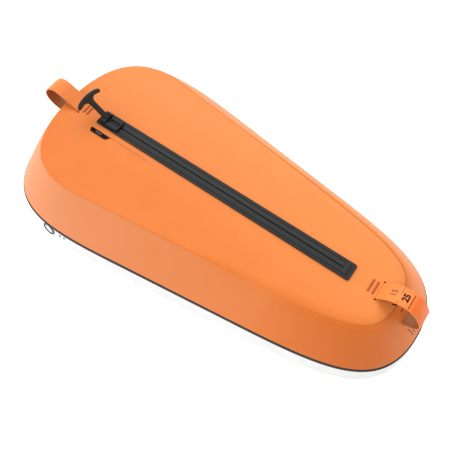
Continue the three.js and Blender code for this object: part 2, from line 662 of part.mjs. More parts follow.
add('battery_pack', batteryPack(), blackPlastic());
add('hv_capacitor', highVoltageCapacitor(), finish(0x2b4f8c, 0.4));
add('capacitor_cradle', capacitorCradle(), blackPlastic());
add('charge_transformer', chargeTransformer(), finish(0x8a6b2e, 0.6));
add('bridge_heatsink', bridgeHeatsink(), finish(0xa9adb0, 0.4, 1));
add('relay', relayCan(), finish(0x1f5fa0, 0.4));
add('speaker', speaker(), blackPlastic());
add('main_board', mainBoard(), finish(0x1d6b3c, 0.5));
add('upper_housing', upperHousing(), greyPlastic());
add('shock_button', deckButton(SHOCK, 1.6), finish(0xff7a2e, 0.4));
add('info_button', deckButton(INFO, 1.4), finish(0x3f86d6, 0.4));
add('pads_socket', padSocket(), blackPlastic());
add('pads_plug', padPlug(), whitePlastic());
add('pads_lead', padLead(), finish(0xd8d8d6, 0.6));
add('electrode_pad_1', electrodePad(0), finish(0xeceae2, 0.8));
add('electrode_pad_2', electrodePad(1), finish(0xeceae2, 0.8));
add('pads_pouch', padPouch(), finish(0xc9cdd2, 0.3, 0.6));

add('cover_wall', coverWall(), orangeCoating());
add('seam_tape', seamTape(), orangeCoating());
add('cover_top', coverTop(), orangeCoating());
add('label_plate', labelPlate(), blackPlastic());
add('wide_end_loop', strap(WIDE_STRAP_POINTS, STRAP.t, STRAP.width), orangeWebbing());
add('narrow_end_loop', strap(NARROW_STRAP_POINTS, STRAP.t, STRAP.width), orangeWebbing());
[1, 2].forEach((i) => add(`wide_end_tack_${i}`, tackBar(WIDE_SLIT_X + i * TACK_STEP), stitching()));
[1, 2].forEach((i) => add(`narrow_end_tack_${i}`, tackBar(NARROW_SLIT_X - i * TACK_STEP), stitching()));

add('zip_frame', zipFrame(), blackRubber());
add('zip_tape_left', zipTape(1), blackRubber());
add('zip_tape_right', zipTape(-1), blackRubber());
add('zip_teeth_left', zipTeeth(1), blackPlastic());
add('zip_teeth_right', zipTeeth(-1), blackPlastic());
add('zip_dock', zipDock(), blackPlastic());
add('zip_stop', zipStop(), blackPlastic());
add('zip_slider', zipSlider(), blackPlastic());
add('handle_pin', handlePin(), steel());
add('zip_handle', zipHandle(), blackPlastic());

export default defibrillator;
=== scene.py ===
import math

import bpy
from mathutils import Matrix, Vector, noise
from mathutils.geometry import interpolate_bezier


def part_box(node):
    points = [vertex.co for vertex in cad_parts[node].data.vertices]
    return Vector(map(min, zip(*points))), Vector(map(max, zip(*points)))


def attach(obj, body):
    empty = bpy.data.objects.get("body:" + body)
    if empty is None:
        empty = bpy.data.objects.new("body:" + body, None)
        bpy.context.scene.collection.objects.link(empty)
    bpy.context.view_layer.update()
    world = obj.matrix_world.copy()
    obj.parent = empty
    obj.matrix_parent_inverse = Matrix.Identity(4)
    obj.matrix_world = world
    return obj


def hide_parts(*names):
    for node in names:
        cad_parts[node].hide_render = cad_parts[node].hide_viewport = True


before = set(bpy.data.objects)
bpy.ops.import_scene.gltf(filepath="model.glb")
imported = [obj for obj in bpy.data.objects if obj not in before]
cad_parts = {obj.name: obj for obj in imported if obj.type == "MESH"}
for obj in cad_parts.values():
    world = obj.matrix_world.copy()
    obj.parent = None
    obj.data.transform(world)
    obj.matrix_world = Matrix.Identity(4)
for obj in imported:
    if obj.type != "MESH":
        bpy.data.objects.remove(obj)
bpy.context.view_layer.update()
bpy.ops.object.select_all(action="DESELECT")

# Studio. A plain pale light table in an evenly lit white room, with one large soft lamp
# beyond the far side and another off the wide end, and the camera high over the near side.
CAMERA_TURN = math.radians(35.51)
CAMERA_HEIGHT = math.radians(64.5)
CAMERA_DISTANCE = 0.4834
CAMERA_TARGET = Vector((0.01451, -0.01051, 0.028))
LAMPS = {
    "far_lamp": (Vector((-0.30, 0.62, 0.72)), 1.5, 45),
    "wide_end_lamp": (Vector((-0.80, -0.45, 0.40)), 1.15, 50),
}

outward = Vector((
    math.sin(CAMERA_TURN) * math.cos(CAMERA_HEIGHT),
    -math.cos(CAMERA_TURN) * math.cos(CAMERA_HEIGHT),
    math.sin(CAMERA_HEIGHT),
))
bpy.ops.object.camera_add(location=CAMERA_TARGET + outward * CAMERA_DISTANCE)
camera = bpy.context.object
camera.rotation_euler = (-outward).to_track_quat("-Z", "Y").to_euler()
camera.data.sensor_width = 36
camera.data.lens = 41.24
camera.data.clip_start = 0.01
bpy.context.scene.camera = camera
bpy.context.scene.view_settings.view_transform = "Standard"

for name, (towards, strength, spread) in LAMPS.items():
    bpy.ops.object.light_add(type="SUN", location=towards * 2)
    lamp = bpy.context.object
    lamp.name = name
    lamp.rotation_euler = (-towards).to_track_quat("-Z", "Y").to_euler()
    lamp.data.energy = strength
    lamp.data.angle = math.radians(spread)

room = bpy.data.worlds.new("white_room")
room.use_nodes = True
room.node_tree.nodes["Background"].inputs["Color"].default_value = (1.0, 1.0, 1.0, 1)
room.node_tree.nodes["Background"].inputs["Strength"].default_value = 0.75
bpy.context.scene.world = room

bpy.ops.mesh.primitive_plane_add(size=8, location=(0, 0, -0.0003))
table = bpy.context.object
table.name = "pale_table"
table_paint = bpy.data.materials.new("table_paint")
table_paint.use_nodes = True
paint = table_paint.node_tree.nodes["Principled BSDF"].inputs
paint["Base Color"].default_value = (0.93, 0.93, 0.93, 1)
paint["Roughness"].default_value = 0.9
paint["Specular IOR Level"].default_value = 0.0
paint["Emission Color"].default_value = (1.0, 1.0, 1.0, 1)
paint["Emission Strength"].default_value = 0.28
table.data.materials.append(table_paint)
bpy.ops.object.select_all(action="DESELECT")


# Base tub. One deep moulding of pale glass-filled plastic with a satin skin, leaning out
# below its rim, that carries all the electronics. It is bored for the power button, the
# two status lenses, the battery and the four hatch screws.
RIM = {
    "wide": -0.1989, "narrow": 0.1988,
    "shoulder": (-0.0407, 0.0946), "waist": (0.0445, 0.0824),
    "pull": (0.1201, 0.0940, 0.1020, 0.0637),
}
BASE_TOP = 0.0243
BASE_LEAN = math.tan(math.radians(12))
HATCH_X = -0.100
SCREW_PLACES = [(-0.147, -0.025), (-0.053, -0.025), (-0.053, 0.025), (-0.147, 0.025)]
BUTTON_PLACE = (-0.1276, 0.0179)
LENS_PLACES = [(-0.1136, 0.0186), (-0.1083, 0.0195)]


def outline(plan, end_steps=40, flank_steps=16):
    """Points round a plan seen from above, anticlockwise from the tip of the narrow end."""
    shoulder, waist = Vector(plan["shoulder"]), Vector(plan["waist"])
    along = (waist - shoulder).normalized()
    wide, narrow = Vector((plan["wide"], 0)), Vector((plan["narrow"], 0))
    pull = plan["pull"]
    narrow_end = interpolate_bezier(
        narrow, narrow + Vector((0, pull[3])), waist + along * pull[2], waist, end_steps)
    flank = interpolate_bezier(
        waist, waist.lerp(shoulder, 1 / 3), waist.lerp(shoulder, 2 / 3), shoulder, flank_steps)
    wide_end = interpolate_bezier(
        shoulder, shoulder - along * pull[1], wide + Vector((0, pull[0])), wide, end_steps)
    half = narrow_end[:-1] + flank[:-1] + wide_end
    return half + [Vector((p.x, -p.y)) for p in reversed(half[1:-1])]


def outward_at(ring, i):
    """The direction square to a ring of points and away from its middle."""
    run = (ring[(i + 1) % len(ring)] - ring[i - 1]).normalized()
    return Vector((run.y, -run.x))


def grown(ring, distance):
    """The ring moved outwards all round by a distance."""
    return [p + outward_at(ring, i) * distance for i, p in enumerate(ring)]


def level(ring, z):
    """A flat ring of points at a height."""
    return [Vector((p.x, p.y, z)) for p in ring]


def running_length(points):
    """How far along a line of points each one is."""
    total = [0.0]
    for before, after in zip(points, points[1:]):
        total.append(total[-1] + (after - before).length)
    return total


def wrap(name, rings, closed=False, zero_row=0):
    """A skin through rings of points: a grid laid on them row by row and merged where it meets. Its map is
    in metres along and across from the zero row. Closed, the last ring meets the first; open, the two ends
    are filled."""
    rows = rings + rings[:1] if closed else rings
    columns = len(rows[0])
    bpy.ops.mesh.primitive_grid_add(x_subdivisions=columns, y_subdivisions=len(rows) - 1, size=1)
    piece = bpy.context.object
    piece.name = name
    piece.data.name = name
    longest = max(rows, key=lambda row: running_length(row)[-1])
    along = running_length(longest + longest[:1])
    across = running_length([row[columns // 4] for row in rows])
    places = [(row, column) for row in range(len(rows)) for column in range(columns + 1)]
    for vertex, (row, column) in zip(piece.data.vertices, places):
        vertex.co = rows[row][column % columns]
    for corner, spot in zip(piece.data.loops, piece.data.uv_layers[0].data):
        row, column = places[corner.vertex_index]
        spot.uv = (along[column], across[row] - across[zero_row])
    bpy.ops.object.mode_set(mode="EDIT")
    bpy.ops.mesh.select_all(action="SELECT")
    bpy.ops.mesh.remove_doubles(threshold=1e-6)
    if not closed:
        bpy.ops.mesh.fill_holes(sides=0)
    bpy.ops.mesh.normals_make_consistent(inside=False)
    bpy.ops.object.mode_set(mode="OBJECT")
    return piece


def moulding(name, ring, section, closed=False):
    """A skin from its section: how far out from a ring, and how high, each of its points is."""
    return wrap(name, [level(grown(ring, out), z) for out, z in section], closed)


def cut_away(piece, *tools):
    """Takes the tools' shapes out of a piece."""
    for tool in tools:
        bpy.context.view_layer.objects.active = piece
        cutting = piece.modifiers.new("cut", "BOOLEAN")
        cutting.operation = "DIFFERENCE"
        cutting.solver = "EXACT"
        cutting.object = tool
        bpy.ops.object.modifier_apply(modifier=cutting.name)
        bpy.data.objects.remove(tool)


def move_to(piece, matrix):
    """Puts a piece that was made at the origin in its place, with the place in its mesh."""
    piece.data.transform(matrix @ piece.matrix_world)
    piece.matrix_world = Matrix.Identity(4)


def add_node(tree, kind, settings=None, **inputs):
    """A shader node with its settings, and its inputs set or linked by name, or by number as n6."""
    made = tree.nodes.new("ShaderNode" + kind)
    for key, value in (settings or {}).items():
        setattr(made, key, value)
    for key, value in inputs.items():
        numbered = key[0] == "n" and key[1:].isdigit()
        socket = made.inputs[int(key[1:])] if numbered else made.inputs[key.replace("_", " ")]
        if isinstance(value, bpy.types.NodeSocket):
            tree.links.new(value, socket)
        else:
            socket.default_value = value
    return made


def calc(tree, operation, first, second=0.0):
    """The result of one sum on two numbers."""
    return add_node(tree, "Math", {"operation": operation}, n0=first, n1=second).outputs[0]


def mixed(tree, share, first, second):
    """A colour between two, each one linked or given as red, green and blue."""
    ends = [end if isinstance(end, bpy.types.NodeSocket) else (*end, 1) for end in (first, second)]
    return add_node(tree, "Mix", {"data_type": "RGBA"}, n0=share, n6=ends[0], n7=ends[1]).outputs[2]


def ranged(tree, value, low, high, start=0.0, end=1.0):
    """A value's range from low to high, spread from start to end and held there."""
    return add_node(
        tree, "MapRange", Value=value, From_Min=low, From_Max=high, To_Min=start, To_Max=end).outputs[0]


def noisy(tree, place, scale, detail, roughness=0.5):
    """Cloudy noise round 0.5, with that many clouds to the metre."""
    return add_node(
        tree, "TexNoise", Vector=place, Scale=scale, Detail=detail, Roughness=roughness).outputs["Fac"]


def new_finish(name, specular=0.5):
    """A material, its tree, its shader and its place coordinates."""
    made = bpy.data.materials.new(name)
    made.use_nodes = True
    shader = made.node_tree.nodes["Principled BSDF"]
    shader.inputs["Specular IOR Level"].default_value = specular
    place = made.node_tree.nodes.new("ShaderNodeTexCoord").outputs["Object"]
    return made, made.node_tree, shader, place


def finished(tree, shader, colour, gloss, height=None, depth=0.0, strength=0.6):
    """Links a material's colour, its roughness and the ups and downs of its surface to its shader."""
    tree.links.new(colour, shader.inputs["Base Color"])
    tree.links.new(gloss, shader.inputs["Roughness"])
    if height is not None:
        bump = add_node(tree, "Bump", Height=height, Strength=strength, Distance=depth)
        tree.links.new(bump.outputs[0], shader.inputs["Normal"])


def moulded(name, colour, worn, rough, grain, depth, metallic=0.0, specular=0.5, coat=0.0):
    """Moulded plastic, rubber or cast metal: a pebble grain of a size and depth in metres, and a colour
    and gloss that drift towards a worn one, most where an edge has been handled."""
    made, tree, shader, place = new_finish(name, specular)
    shader.inputs["Metallic"].default_value = metallic
    shader.inputs["Coat Weight"].default_value = coat
    shader.inputs["Coat Roughness"].default_value = 0.2
    cloud = noisy(tree, place, 70.0, 5.0, 0.6)
    pebbles = noisy(tree, place, 1 / grain, 2.0)
    ridge = ranged(tree, add_node(tree, "NewGeometry").outputs["Pointiness"], 0.52, 0.62)
    wear = calc(
        tree, "MAXIMUM", ranged(tree, cloud, 0.42, 0.72, 0.0, 0.55), calc(tree, "MULTIPLY", ridge, 0.7))
    gloss = calc(tree, "ADD", ranged(tree, cloud, 0.3, 0.7, rough - 0.05, rough + 0.06),
                 ranged(tree, pebbles, 0.3, 0.7, -0.03, 0.03))
    finished(tree, shader, mixed(tree, wear, colour, worn), gloss, pebbles, depth)
    return made


def fit(piece, body, slot, finish, *stands_for, smooth=34):
    """Fixes a finished piece on its body, in its finish, in place of the plain solids it is; its slot is not
    used.
    """
    bpy.ops.object.select_all(action="DESELECT")
    piece.select_set(True)
    bpy.context.view_layer.objects.active = piece
    bpy.ops.object.transform_apply(location=True, rotation=True, scale=True)
    piece.data.materials.clear()
    piece.data.materials.append(finish)
    bpy.ops.object.shade_smooth_by_angle(angle=math.radians(smooth))
    if stands_for:
        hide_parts(*stands_for)
    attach(piece, body)
    piece.select_set(False)


def wall_frame(x, z):
    """Where a place on the leaning side wall is, and which way it faces, as a matrix with +Z outwards."""
    flared = grown(rim_ring, (BASE_TOP - z) * BASE_LEAN)
    near = sorted((p for p in flared if p.y < 0), key=lambda p: p.x)
    after = next(i for i, p in enumerate(near) if p.x > x)
    run = (near[after] - near[after - 1]).normalized()
    y = near[after - 1].y + run.y / run.x * (x - near[after - 1].x)
    lean = math.atan(BASE_LEAN)
    facing = Vector((run.y * math.cos(lean), -run.x * math.cos(lean), math.sin(lean)))
    turn = Vector((0, 0, 1)).rotation_difference(facing)
    return Matrix.Translation((x, y, z)) @ turn.to_matrix().to_4x4()


def peg(radius, bottom, top, place, sides=48):
    """A round cutting tool, standing along +Z of its place."""
    bpy.ops.mesh.primitive_cylinder_add(
        vertices=sides, radius=radius, depth=top - bottom, location=(0, 0, (top + bottom) / 2))
    tool = bpy.context.object
    move_to(tool, place)
    return tool


def block(place, size):
    """A box round a place, of a size each way."""
    bpy.ops.mesh.primitive_cube_add(size=1, location=place, scale=size)
    bpy.ops.object.transform_apply(location=True, rotation=True, scale=True)
    return bpy.context.object


rim_ring = outline(RIM)
tub = moulding("base_tub", rim_ring, [
    (-0.0030, 0.00240), (-0.0014, 0.00255), (0.0, 0.0030), (0.0012, 0.0037), (0.0022, 0.0046),
    (0.0029, 0.0058), (0.0032, 0.0070), (0.0032, 0.0085), (0.00304, 0.0100), (0.0024, 0.0130),
    (0.0017, 0.0163), (0.0010, 0.0196), (0.00035, 0.0226), (0.0001, 0.0238), (-0.0002, 0.0241),
    (-0.0006, 0.0243), (-0.0054, 0.0243), (-0.0060, 0.0239), (-0.0060, 0.0205), (-0.0016, 0.0190),
    (0.0003, 0.0080), (-0.0004, 0.0060), (-0.0020, 0.0052),
])
button_frame = wall_frame(*BUTTON_PLACE)
cut_away(
    tub,
    block((HATCH_X, 0, 0.003), (0.092, 0.048, 0.012)),
    peg(0.0054, -0.012, 0.004, button_frame),
    peg(0.0068, -0.0013, 0.004, button_frame, 64),
    *[peg(0.0012, -0.006, 0.004, wall_frame(*place), 24) for place in LENS_PLACES],
    *[peg(0.0013, 0.0, 0.0065, Matrix.Translation((x, y, 0)), 24) for x, y in SCREW_PLACES],
)
pale_plastic = moulded(
    "pale_plastic", (0.86, 0.86, 0.85), (0.78, 0.77, 0.75), 0.38, 0.0007, 0.00003, coat=0.1)
fit(tub, "case", "white_shell", pale_plastic, "base_shell")


# Sole. A ribbed rubber mat bonded under the tub so that the unit doesn't slide on a floor
# or a vehicle deck, with slanting drainage grooves and a window for the battery hatch.
GROOVE_PITCH = 0.008
GROOVE_COUNT = 76
GROOVE_TURN = math.radians(24)


def soften(piece, width, segments=2, angle=35):
    """Rounds the sharp edges of a piece."""
    bpy.context.view_layer.objects.active = piece
    rounding = piece.modifiers.new("rounded", "BEVEL")
    rounding.width = width
    rounding.segments = segments
    rounding.limit_method = "ANGLE"
    rounding.angle_limit = math.radians(angle)
    bpy.ops.object.modifier_apply(modifier=rounding.name)


def in_a_row(piece, count, step):
    """Repeats a piece, each copy a step on from the one before."""
    row = piece.modifiers.new("row", "ARRAY")
    row.count = count
    row.use_relative_offset = False
    row.use_constant_offset = True
    row.constant_offset_displace = step
    bpy.ops.object.modifier_apply(modifier=row.name)


sole = moulding("sole_tread", rim_ring, [
    (-0.0068, 0.0), (-0.0063, 0.00022), (-0.0060, 0.0007), (-0.0060, 0.0021),
])
window = block((HATCH_X, 0, 0.001), (0.105, 0.061, 0.006))
soften(window, 0.0035, 4)
cut_away(sole, window)
grooves = block((-0.30, 0, 0), (0.0018, 0.5, 0.0013))
in_a_row(grooves, GROOVE_COUNT, (GROOVE_PITCH, 0, 0))
move_to(grooves, Matrix.Rotation(GROOVE_TURN, 4, "Z"))
cut_away(sole, grooves)
tread_rubber = moulded("tread_rubber", (0.022, 0.023, 0.025), (0.06, 0.06, 0.062), 0.78, 0.0009, 0.00006)
fit(sole, "case", "dark_rubber", tread_rubber, "sole_pad")


# Battery hatch. A grey moulded lid let into the sole, stiffened by two long swages and
# held by four countersunk steel screws with a cross recess.
lid = block((HATCH_X, 0, 0.0012), (0.104, 0.060, 0.0018))
lid.name = "battery_lid"
bpy.ops.object.mode_set(mode="EDIT")
bpy.ops.mesh.select_all(action="SELECT")
bpy.ops.mesh.bevel(offset=0.0002, segments=1, affect="EDGES")
bpy.ops.object.mode_set(mode="OBJECT")
swages = []
for y in (-0.012, 0.012):
    swages.append(block((HATCH_X, y, 0.0003), (0.072, 0.006, 0.0010)))
    soften(swages[-1], 0.00045, 3)
cut_away(
    lid,
    *swages,
    *[peg(0.0013, -0.001, 0.004, Matrix.Translation((x, y, 0)), 24) for x, y in SCREW_PLACES],
    *[peg(0.0025, -0.001, 0.0015, Matrix.Translation((x, y, 0)), 32) for x, y in SCREW_PLACES],
)
grey_plastic = moulded("grey_plastic", (0.50, 0.51, 0.52), (0.62, 0.62, 0.62), 0.45, 0.0008, 0.00004)
fit(lid, "case", "grey_plastic", grey_plastic, "battery_hatch")

bright_steel = moulded(
    "bright_steel", (0.60, 0.61, 0.62), (0.72, 0.72, 0.71), 0.30, 0.0004, 0.00001, metallic=1.0)
for number, (x, y) in enumerate(SCREW_PLACES, 1):
    bpy.ops.mesh.primitive_cylinder_add(vertices=40, radius=0.0022, depth=0.0008, location=(x, y, 0.0008))
    screw = bpy.context.object
    screw.name = f"lid_screw_{number}"
    bpy.ops.object.transform_apply(location=True, rotation=True, scale=True)
    soften(screw, 0.00022, 3)
    bpy.ops.object.mode_set(mode="EDIT")
    bpy.ops.mesh.select_all(action="DESELECT")
    bpy.ops.object.mode_set(mode="OBJECT")
    for face in screw.data.polygons:
        face.select = face.normal.z > 0.99 and face.area > 1e-6
    bpy.ops.object.mode_set(mode="EDIT")
    bpy.ops.mesh.inset(thickness=0.0010)
    bpy.ops.mesh.extrude_region_move(TRANSFORM_OT_translate={"value": (0, 0, 0.0070)})
    bpy.ops.object.mode_set(mode="OBJECT")
    crosses = []
    for turn in (0, 90):
        crosses.append(block((0, 0, 0), (0.0026, 0.00055, 0.0009)))
        turned_by = Matrix.Rotation(math.radians(turn + 20 * number), 4, "Z")
        move_to(crosses[-1], Matrix.Translation((x, y, 0.0005)) @ turned_by)
    cut_away(screw, *crosses)
    fit(screw, "case", "steel", bright_steel, f"hatch_screw_{number}")


# Power button. A plain white cap with a dished face, guided in a proud black bezel that
# is pressed into the wall, over the sealed switch that it presses.
def circle(radius, sides):
    """Points round a circle, anticlockwise."""
    turns = [math.tau * k / sides for k in range(sides)]
    return [Vector((radius * math.cos(turn), radius * math.sin(turn))) for turn in turns]


def turned(name, profile, place, sides=64, closed=False):
    """A round piece from its profile of radius and height, standing along +Z of its place."""
    piece = wrap(name, [level(circle(radius, sides), z) for radius, z in profile], closed)
    move_to(piece, place)
    return piece


def mottled(name, scale, detail, dark, light, low=0.4, high=0.7, specular=0.5):
    """A material that drifts between two colours: as new_finish, with its noise and its colour too."""
    made, tree, shader, place = new_finish(name, specular)
    cloud = noisy(tree, place, scale, detail)
    return made, tree, shader, place, cloud, mixed(tree, ranged(tree, cloud, low, high), dark, light)


black_plastic = moulded(
    "black_plastic", (0.014, 0.014, 0.015), (0.035, 0.035, 0.036), 0.36, 0.0005, 0.00002, coat=0.15)
bezel = turned("bezel_ring", [
    (0.0065, -0.0010), (0.0067, 0.0003), (0.0066, 0.00085), (0.0062, 0.0011), (0.0058, 0.0011),
    (0.00542, 0.00085), (0.0053, 0.0004), (0.0053, -0.0010),
], button_frame, closed=True)
fit(bezel, "case", "black_plastic", black_plastic, "button_bezel")
cap = turned("power_cap", [
    (0.0047, -0.0044), (0.0050, -0.0041), (0.0050, 0.0001), (0.00492, 0.0003), (0.0047, 0.00048),
    (0.0043, 0.00052), (0.0036, 0.00042), (0.0024, 0.00034), (0.0010, 0.0003),
], button_frame)
cap_plastic, tree, shader, place, cloud, colour = mottled(
    "cap_plastic", 900.0, 3.0, (0.80, 0.80, 0.79), (0.70, 0.70, 0.69))
finished(tree, shader, colour, ranged(tree, cloud, 0.3, 0.7, 0.30, 0.42))
fit(cap, "power_key", "white_shell", cap_plastic, "power_button")


def dress(node, finish, rounding, segments=2):
    """A solid that is already right: its loose faces joined, its edges rounded, and its finish put on."""
    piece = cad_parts[node]
    joined = piece.modifiers.new("joined", "WELD")
    joined.merge_threshold = 1e-6
    edges = piece.modifiers.new("edges", "BEVEL")
    edges.width = rounding
    edges.segments = segments
    edges.limit_method = "ANGLE"
    edges.angle_limit = math.radians(30)
    piece.data.materials.clear()
    piece.data.materials.append(finish)


dress("power_switch", black_plastic, 0.0004)


# Status lenses. Two tiny smoked acrylic domes pressed into the wall beside the button,
# over the lamps that show the state of the battery and of the self test.
smoked_acrylic = moulded(
    "smoked_acrylic", (0.02, 0.022, 0.024), (0.05, 0.05, 0.05), 0.14, 0.0003, 0.000005, coat=0.5)
for number, place_on_wall in enumerate(LENS_PLACES, 1):
    dome = turned(f"lens_dome_{number}", [
        (0.0008, -0.0030), (0.0009, -0.0028), (0.0009, 0.0), (0.00086, 0.00028), (0.00070, 0.00056),
        (0.00045, 0.00078), (0.00018, 0.00088),
    ], wall_frame(*place_on_wall), 32)
    fit(dome, "case", "black_plastic", smoked_acrylic, f"status_lens_{number}")


# Rim seal. A dark rubber gasket squeezed between the tub and the cover, with a trim strip
# of the same rubber over it that finishes the joint all round.
gasket = moulding("rim_seal", rim_ring, [
    (-0.0026, 0.0247), (0.0005, 0.0246), (0.0010, 0.0250), (0.0010, 0.0266), (0.0006, 0.0270),
    (-0.0026, 0.0269),
], closed=True)
seal_rubber = moulded("seal_rubber", (0.030, 0.031, 0.033), (0.055, 0.055, 0.056), 0.62, 0.0006, 0.00003)
fit(gasket, "case", "dark_rubber", seal_rubber, "rim_gasket")
trim = moulding("rim_strip", rim_ring, [
    (-0.0022, 0.0274), (0.0001, 0.0273), (0.0004, 0.02745), (0.0004, 0.02775), (0.0001, 0.0279),
    (-0.0022, 0.0278),
], closed=True)
fit(trim, "case", "dark_rubber", seal_rubber, "rim_trim")


# Battery pack. Five lithium cells side by side in a black shrink sleeve, whose rounds show
# through it, with a printed strip across; it drops in from below through the hatch.
CELL_PITCH = 0.0176


def wavy(tree, place, way, pitch):
    """Even ridges across one way, from 0 to 1, with that many metres between them."""
    return add_node(tree, "TexWave", {"bands_direction": way}, Vector=place, Scale=math.tau / 20 / pitch,
                    Detail=0.0).outputs["Fac"]


def within(tree, place, centre, half):
    """1 inside a small upright box seen from above, and 0 outside it."""
    shifted = add_node(tree, "Mapping", Vector=place, Location=(-centre[0], -centre[1], 0)).outputs[0]
    apart = add_node(tree, "SeparateXYZ", Vector=shifted)
    inside = [
        calc(tree, "LESS_THAN", calc(tree, "ABSOLUTE", apart.outputs[axis]), reach)
        for axis, reach in zip("XY", half)
    ]
    return calc(tree, "MULTIPLY", *inside)


def printed(tree, place, colour, shade, half, *centres):
    """A colour with bars of a half size printed over it in a shade."""
    for centre in centres:
        colour = mixed(tree, within(tree, place, centre, half), colour, shade)
    return colour


sleeve_film, tree, shader, place, cloud, colour = mottled(
    "shrink_sleeve", 320.0, 4.0, (0.012, 0.013, 0.016), (0.03, 0.032, 0.036))
colour = printed(tree, place, colour, (0.52, 0.50, 0.42), (0.030, 0.011), (-0.100, 0))
colour = printed(tree, place, colour, (0.05, 0.05, 0.05), (0.020, 0.0006),
                 (-0.104, -0.006), (-0.104, -0.001), (-0.104, 0.004))
finished(tree, shader, colour, ranged(tree, cloud, 0.3, 0.7, 0.24, 0.40),
         wavy(tree, place, "X", CELL_PITCH), 0.0016)
dress("battery_pack", sleeve_film, 0.0008, 3)


# High-voltage capacitor. A long can in a dark blue heat-shrunk sleeve that stores the
# shock's charge, with a pale end disc and two tinned posts, in a moulded cradle.
CAN_END = 0.0612
POSTS_FROM = 0.0652
can_finish, tree, shader, place, cloud, colour = mottled(
    "capacitor_finish", 240.0, 5.0, (0.030, 0.075, 0.26), (0.05, 0.11, 0.33))
along_can = add_node(tree, "SeparateXYZ", Vector=place).outputs["X"]
on_posts = calc(tree, "GREATER_THAN", along_can, POSTS_FROM)
colour = printed(tree, place, colour, (0.6, 0.62, 0.66), (0.028, 0.0012), (0.020, -0.012))
colour = mixed(tree, calc(tree, "GREATER_THAN", along_can, CAN_END), colour, (0.30, 0.27, 0.22))
colour = mixed(tree, on_posts, colour, (0.66, 0.66, 0.65))
tree.links.new(on_posts, shader.inputs["Metallic"])
finished(tree, shader, colour, ranged(tree, cloud, 0.3, 0.7, 0.26, 0.38), cloud, 0.0001)
dress("hv_capacitor", can_finish, 0.0010, 3)
dress("capacitor_cradle", black_plastic, 0.0008, 3)


# Charging transformer. A dark ferrite core round a winding wrapped in amber tape, whose
# turns show through as fine ridges; it steps the battery up to charge the capacitor.
WINDING_HALF = 0.0151
WINDING_Y = 0.027
core_finish, tree, shader, place, _, colour = mottled(
    "core_and_tape", 500.0, 5.0, (0.42, 0.22, 0.035), (0.56, 0.33, 0.07), 0.35, specular=0.45)
on_core = within(tree, place, (0.006, WINDING_Y), (0.05, WINDING_HALF))
colour = mixed(tree, on_core, colour, (0.035, 0.035, 0.038))
finished(tree, shader, colour, ranged(tree, on_core, 0, 1, 0.30, 0.72),
         wavy(tree, place, "Z", 0.0009), 0.0001)
dress("charge_transformer", core_finish, 0.0007, 3)


# Output bridge's heatsink. A five-finned aluminium extrusion with the fine die lines of
# its drawing along it and a clear anodised skin.
extrusion, tree, shader, place = new_finish("anodised_extrusion", 0.5)
shader.inputs["Metallic"].default_value = 1.0
drawn = add_node(tree, "Mapping", Vector=place, Scale=(12, 1600, 1600)).outputs[0]
die_lines = noisy(tree, drawn, 1.0, 3.0)
colour = mixed(tree, ranged(tree, die_lines, 0.35, 0.65), (0.52, 0.53, 0.54), (0.66, 0.67, 0.68))
finished(tree, shader, colour, ranged(tree, die_lines, 0.3, 0.7, 0.30, 0.48), die_lines, 0.00004)
dress("bridge_heatsink", extrusion, 0.0003)


# Safety relay and loudspeaker. The relay is a sealed blue box with a pale print on its
# lid; the speaker's pressed cone faces up, with ribs round it, in a black basket.
SPEAKER_PLACE = Vector((0.104, -0.034, 0.0))
DUST_CAP_R = 0.0062
RIB_PITCH = 0.0022
relay_finish, tree, shader, place, cloud, colour = mottled(
    "relay_gloss", 420.0, 4.0, (0.02, 0.07, 0.27), (0.035, 0.10, 0.34))
colour = printed(tree, place, colour, (0.7, 0.7, 0.7), (0.009, 0.0005),
                 (0.119, -0.0065), (0.119, -0.0035), (0.119, -0.0005))
finished(tree, shader, colour, ranged(tree, cloud, 0.3, 0.7, 0.18, 0.30), cloud, 0.00002)
dress("relay", relay_finish, 0.0006, 3)


def off_axis(tree, place, centre):
    """How far a place is from an upright axis."""
    shifted = add_node(tree, "Mapping", Vector=place, Location=-centre, Scale=(1, 1, 0)).outputs[0]
    return add_node(tree, "VectorMath", {"operation": "LENGTH"}, n0=shifted).outputs["Value"]


cone_finish, tree, shader, place, cloud, colour = mottled(
    "speaker_cone", 900.0, 4.0, (0.028, 0.026, 0.024), (0.065, 0.060, 0.055), 0.35, specular=0.3)
radius = off_axis(tree, place, SPEAKER_PLACE)
ribs = calc(tree, "SINE", calc(tree, "MULTIPLY", radius, math.tau / RIB_PITCH))
colour = mixed(tree, calc(tree, "LESS_THAN", radius, DUST_CAP_R), colour, (0.012, 0.012, 0.013))
finished(tree, shader, colour, ranged(tree, cloud, 0.3, 0.7, 0.6, 0.8), ribs, 0.0006)
dress("speaker", cone_finish, 0.0006)


# Main board. Green solder mask over a grid of fine tracks and round pads, with the parts
# that stand up from it in black, screwed flat over the base.
BOARD_TOP = 0.03525
TRACK_PITCH = 0.0021
board_finish, tree, shader, place = new_finish("solder_mask", 0.5)
board_z = add_node(tree, "SeparateXYZ", Vector=place).outputs["Z"]
warped = add_node(tree, "TexVoronoi", {"distance": "MANHATTAN", "feature": "F1"}, Vector=place, Scale=110.0)
tracks = calc(tree, "MULTIPLY", wavy(tree, warped.outputs["Position"], "X", TRACK_PITCH),
              wavy(tree, place, "Y", TRACK_PITCH))
spots = add_node(tree, "TexVoronoi", Vector=place, Scale=240.0).outputs["Distance"]
colour = mixed(tree, ranged(tree, tracks, 0.35, 0.5), (0.008, 0.085, 0.030), (0.020, 0.17, 0.060))
colour = mixed(tree, calc(tree, "LESS_THAN", spots, 0.13), colour, (0.60, 0.56, 0.42))
colour = mixed(tree, calc(tree, "GREATER_THAN", board_z, BOARD_TOP), colour, (0.015, 0.015, 0.016))
finished(tree, shader, colour, ranged(tree, tracks, 0, 1, 0.30, 0.40), tracks, 0.00006)
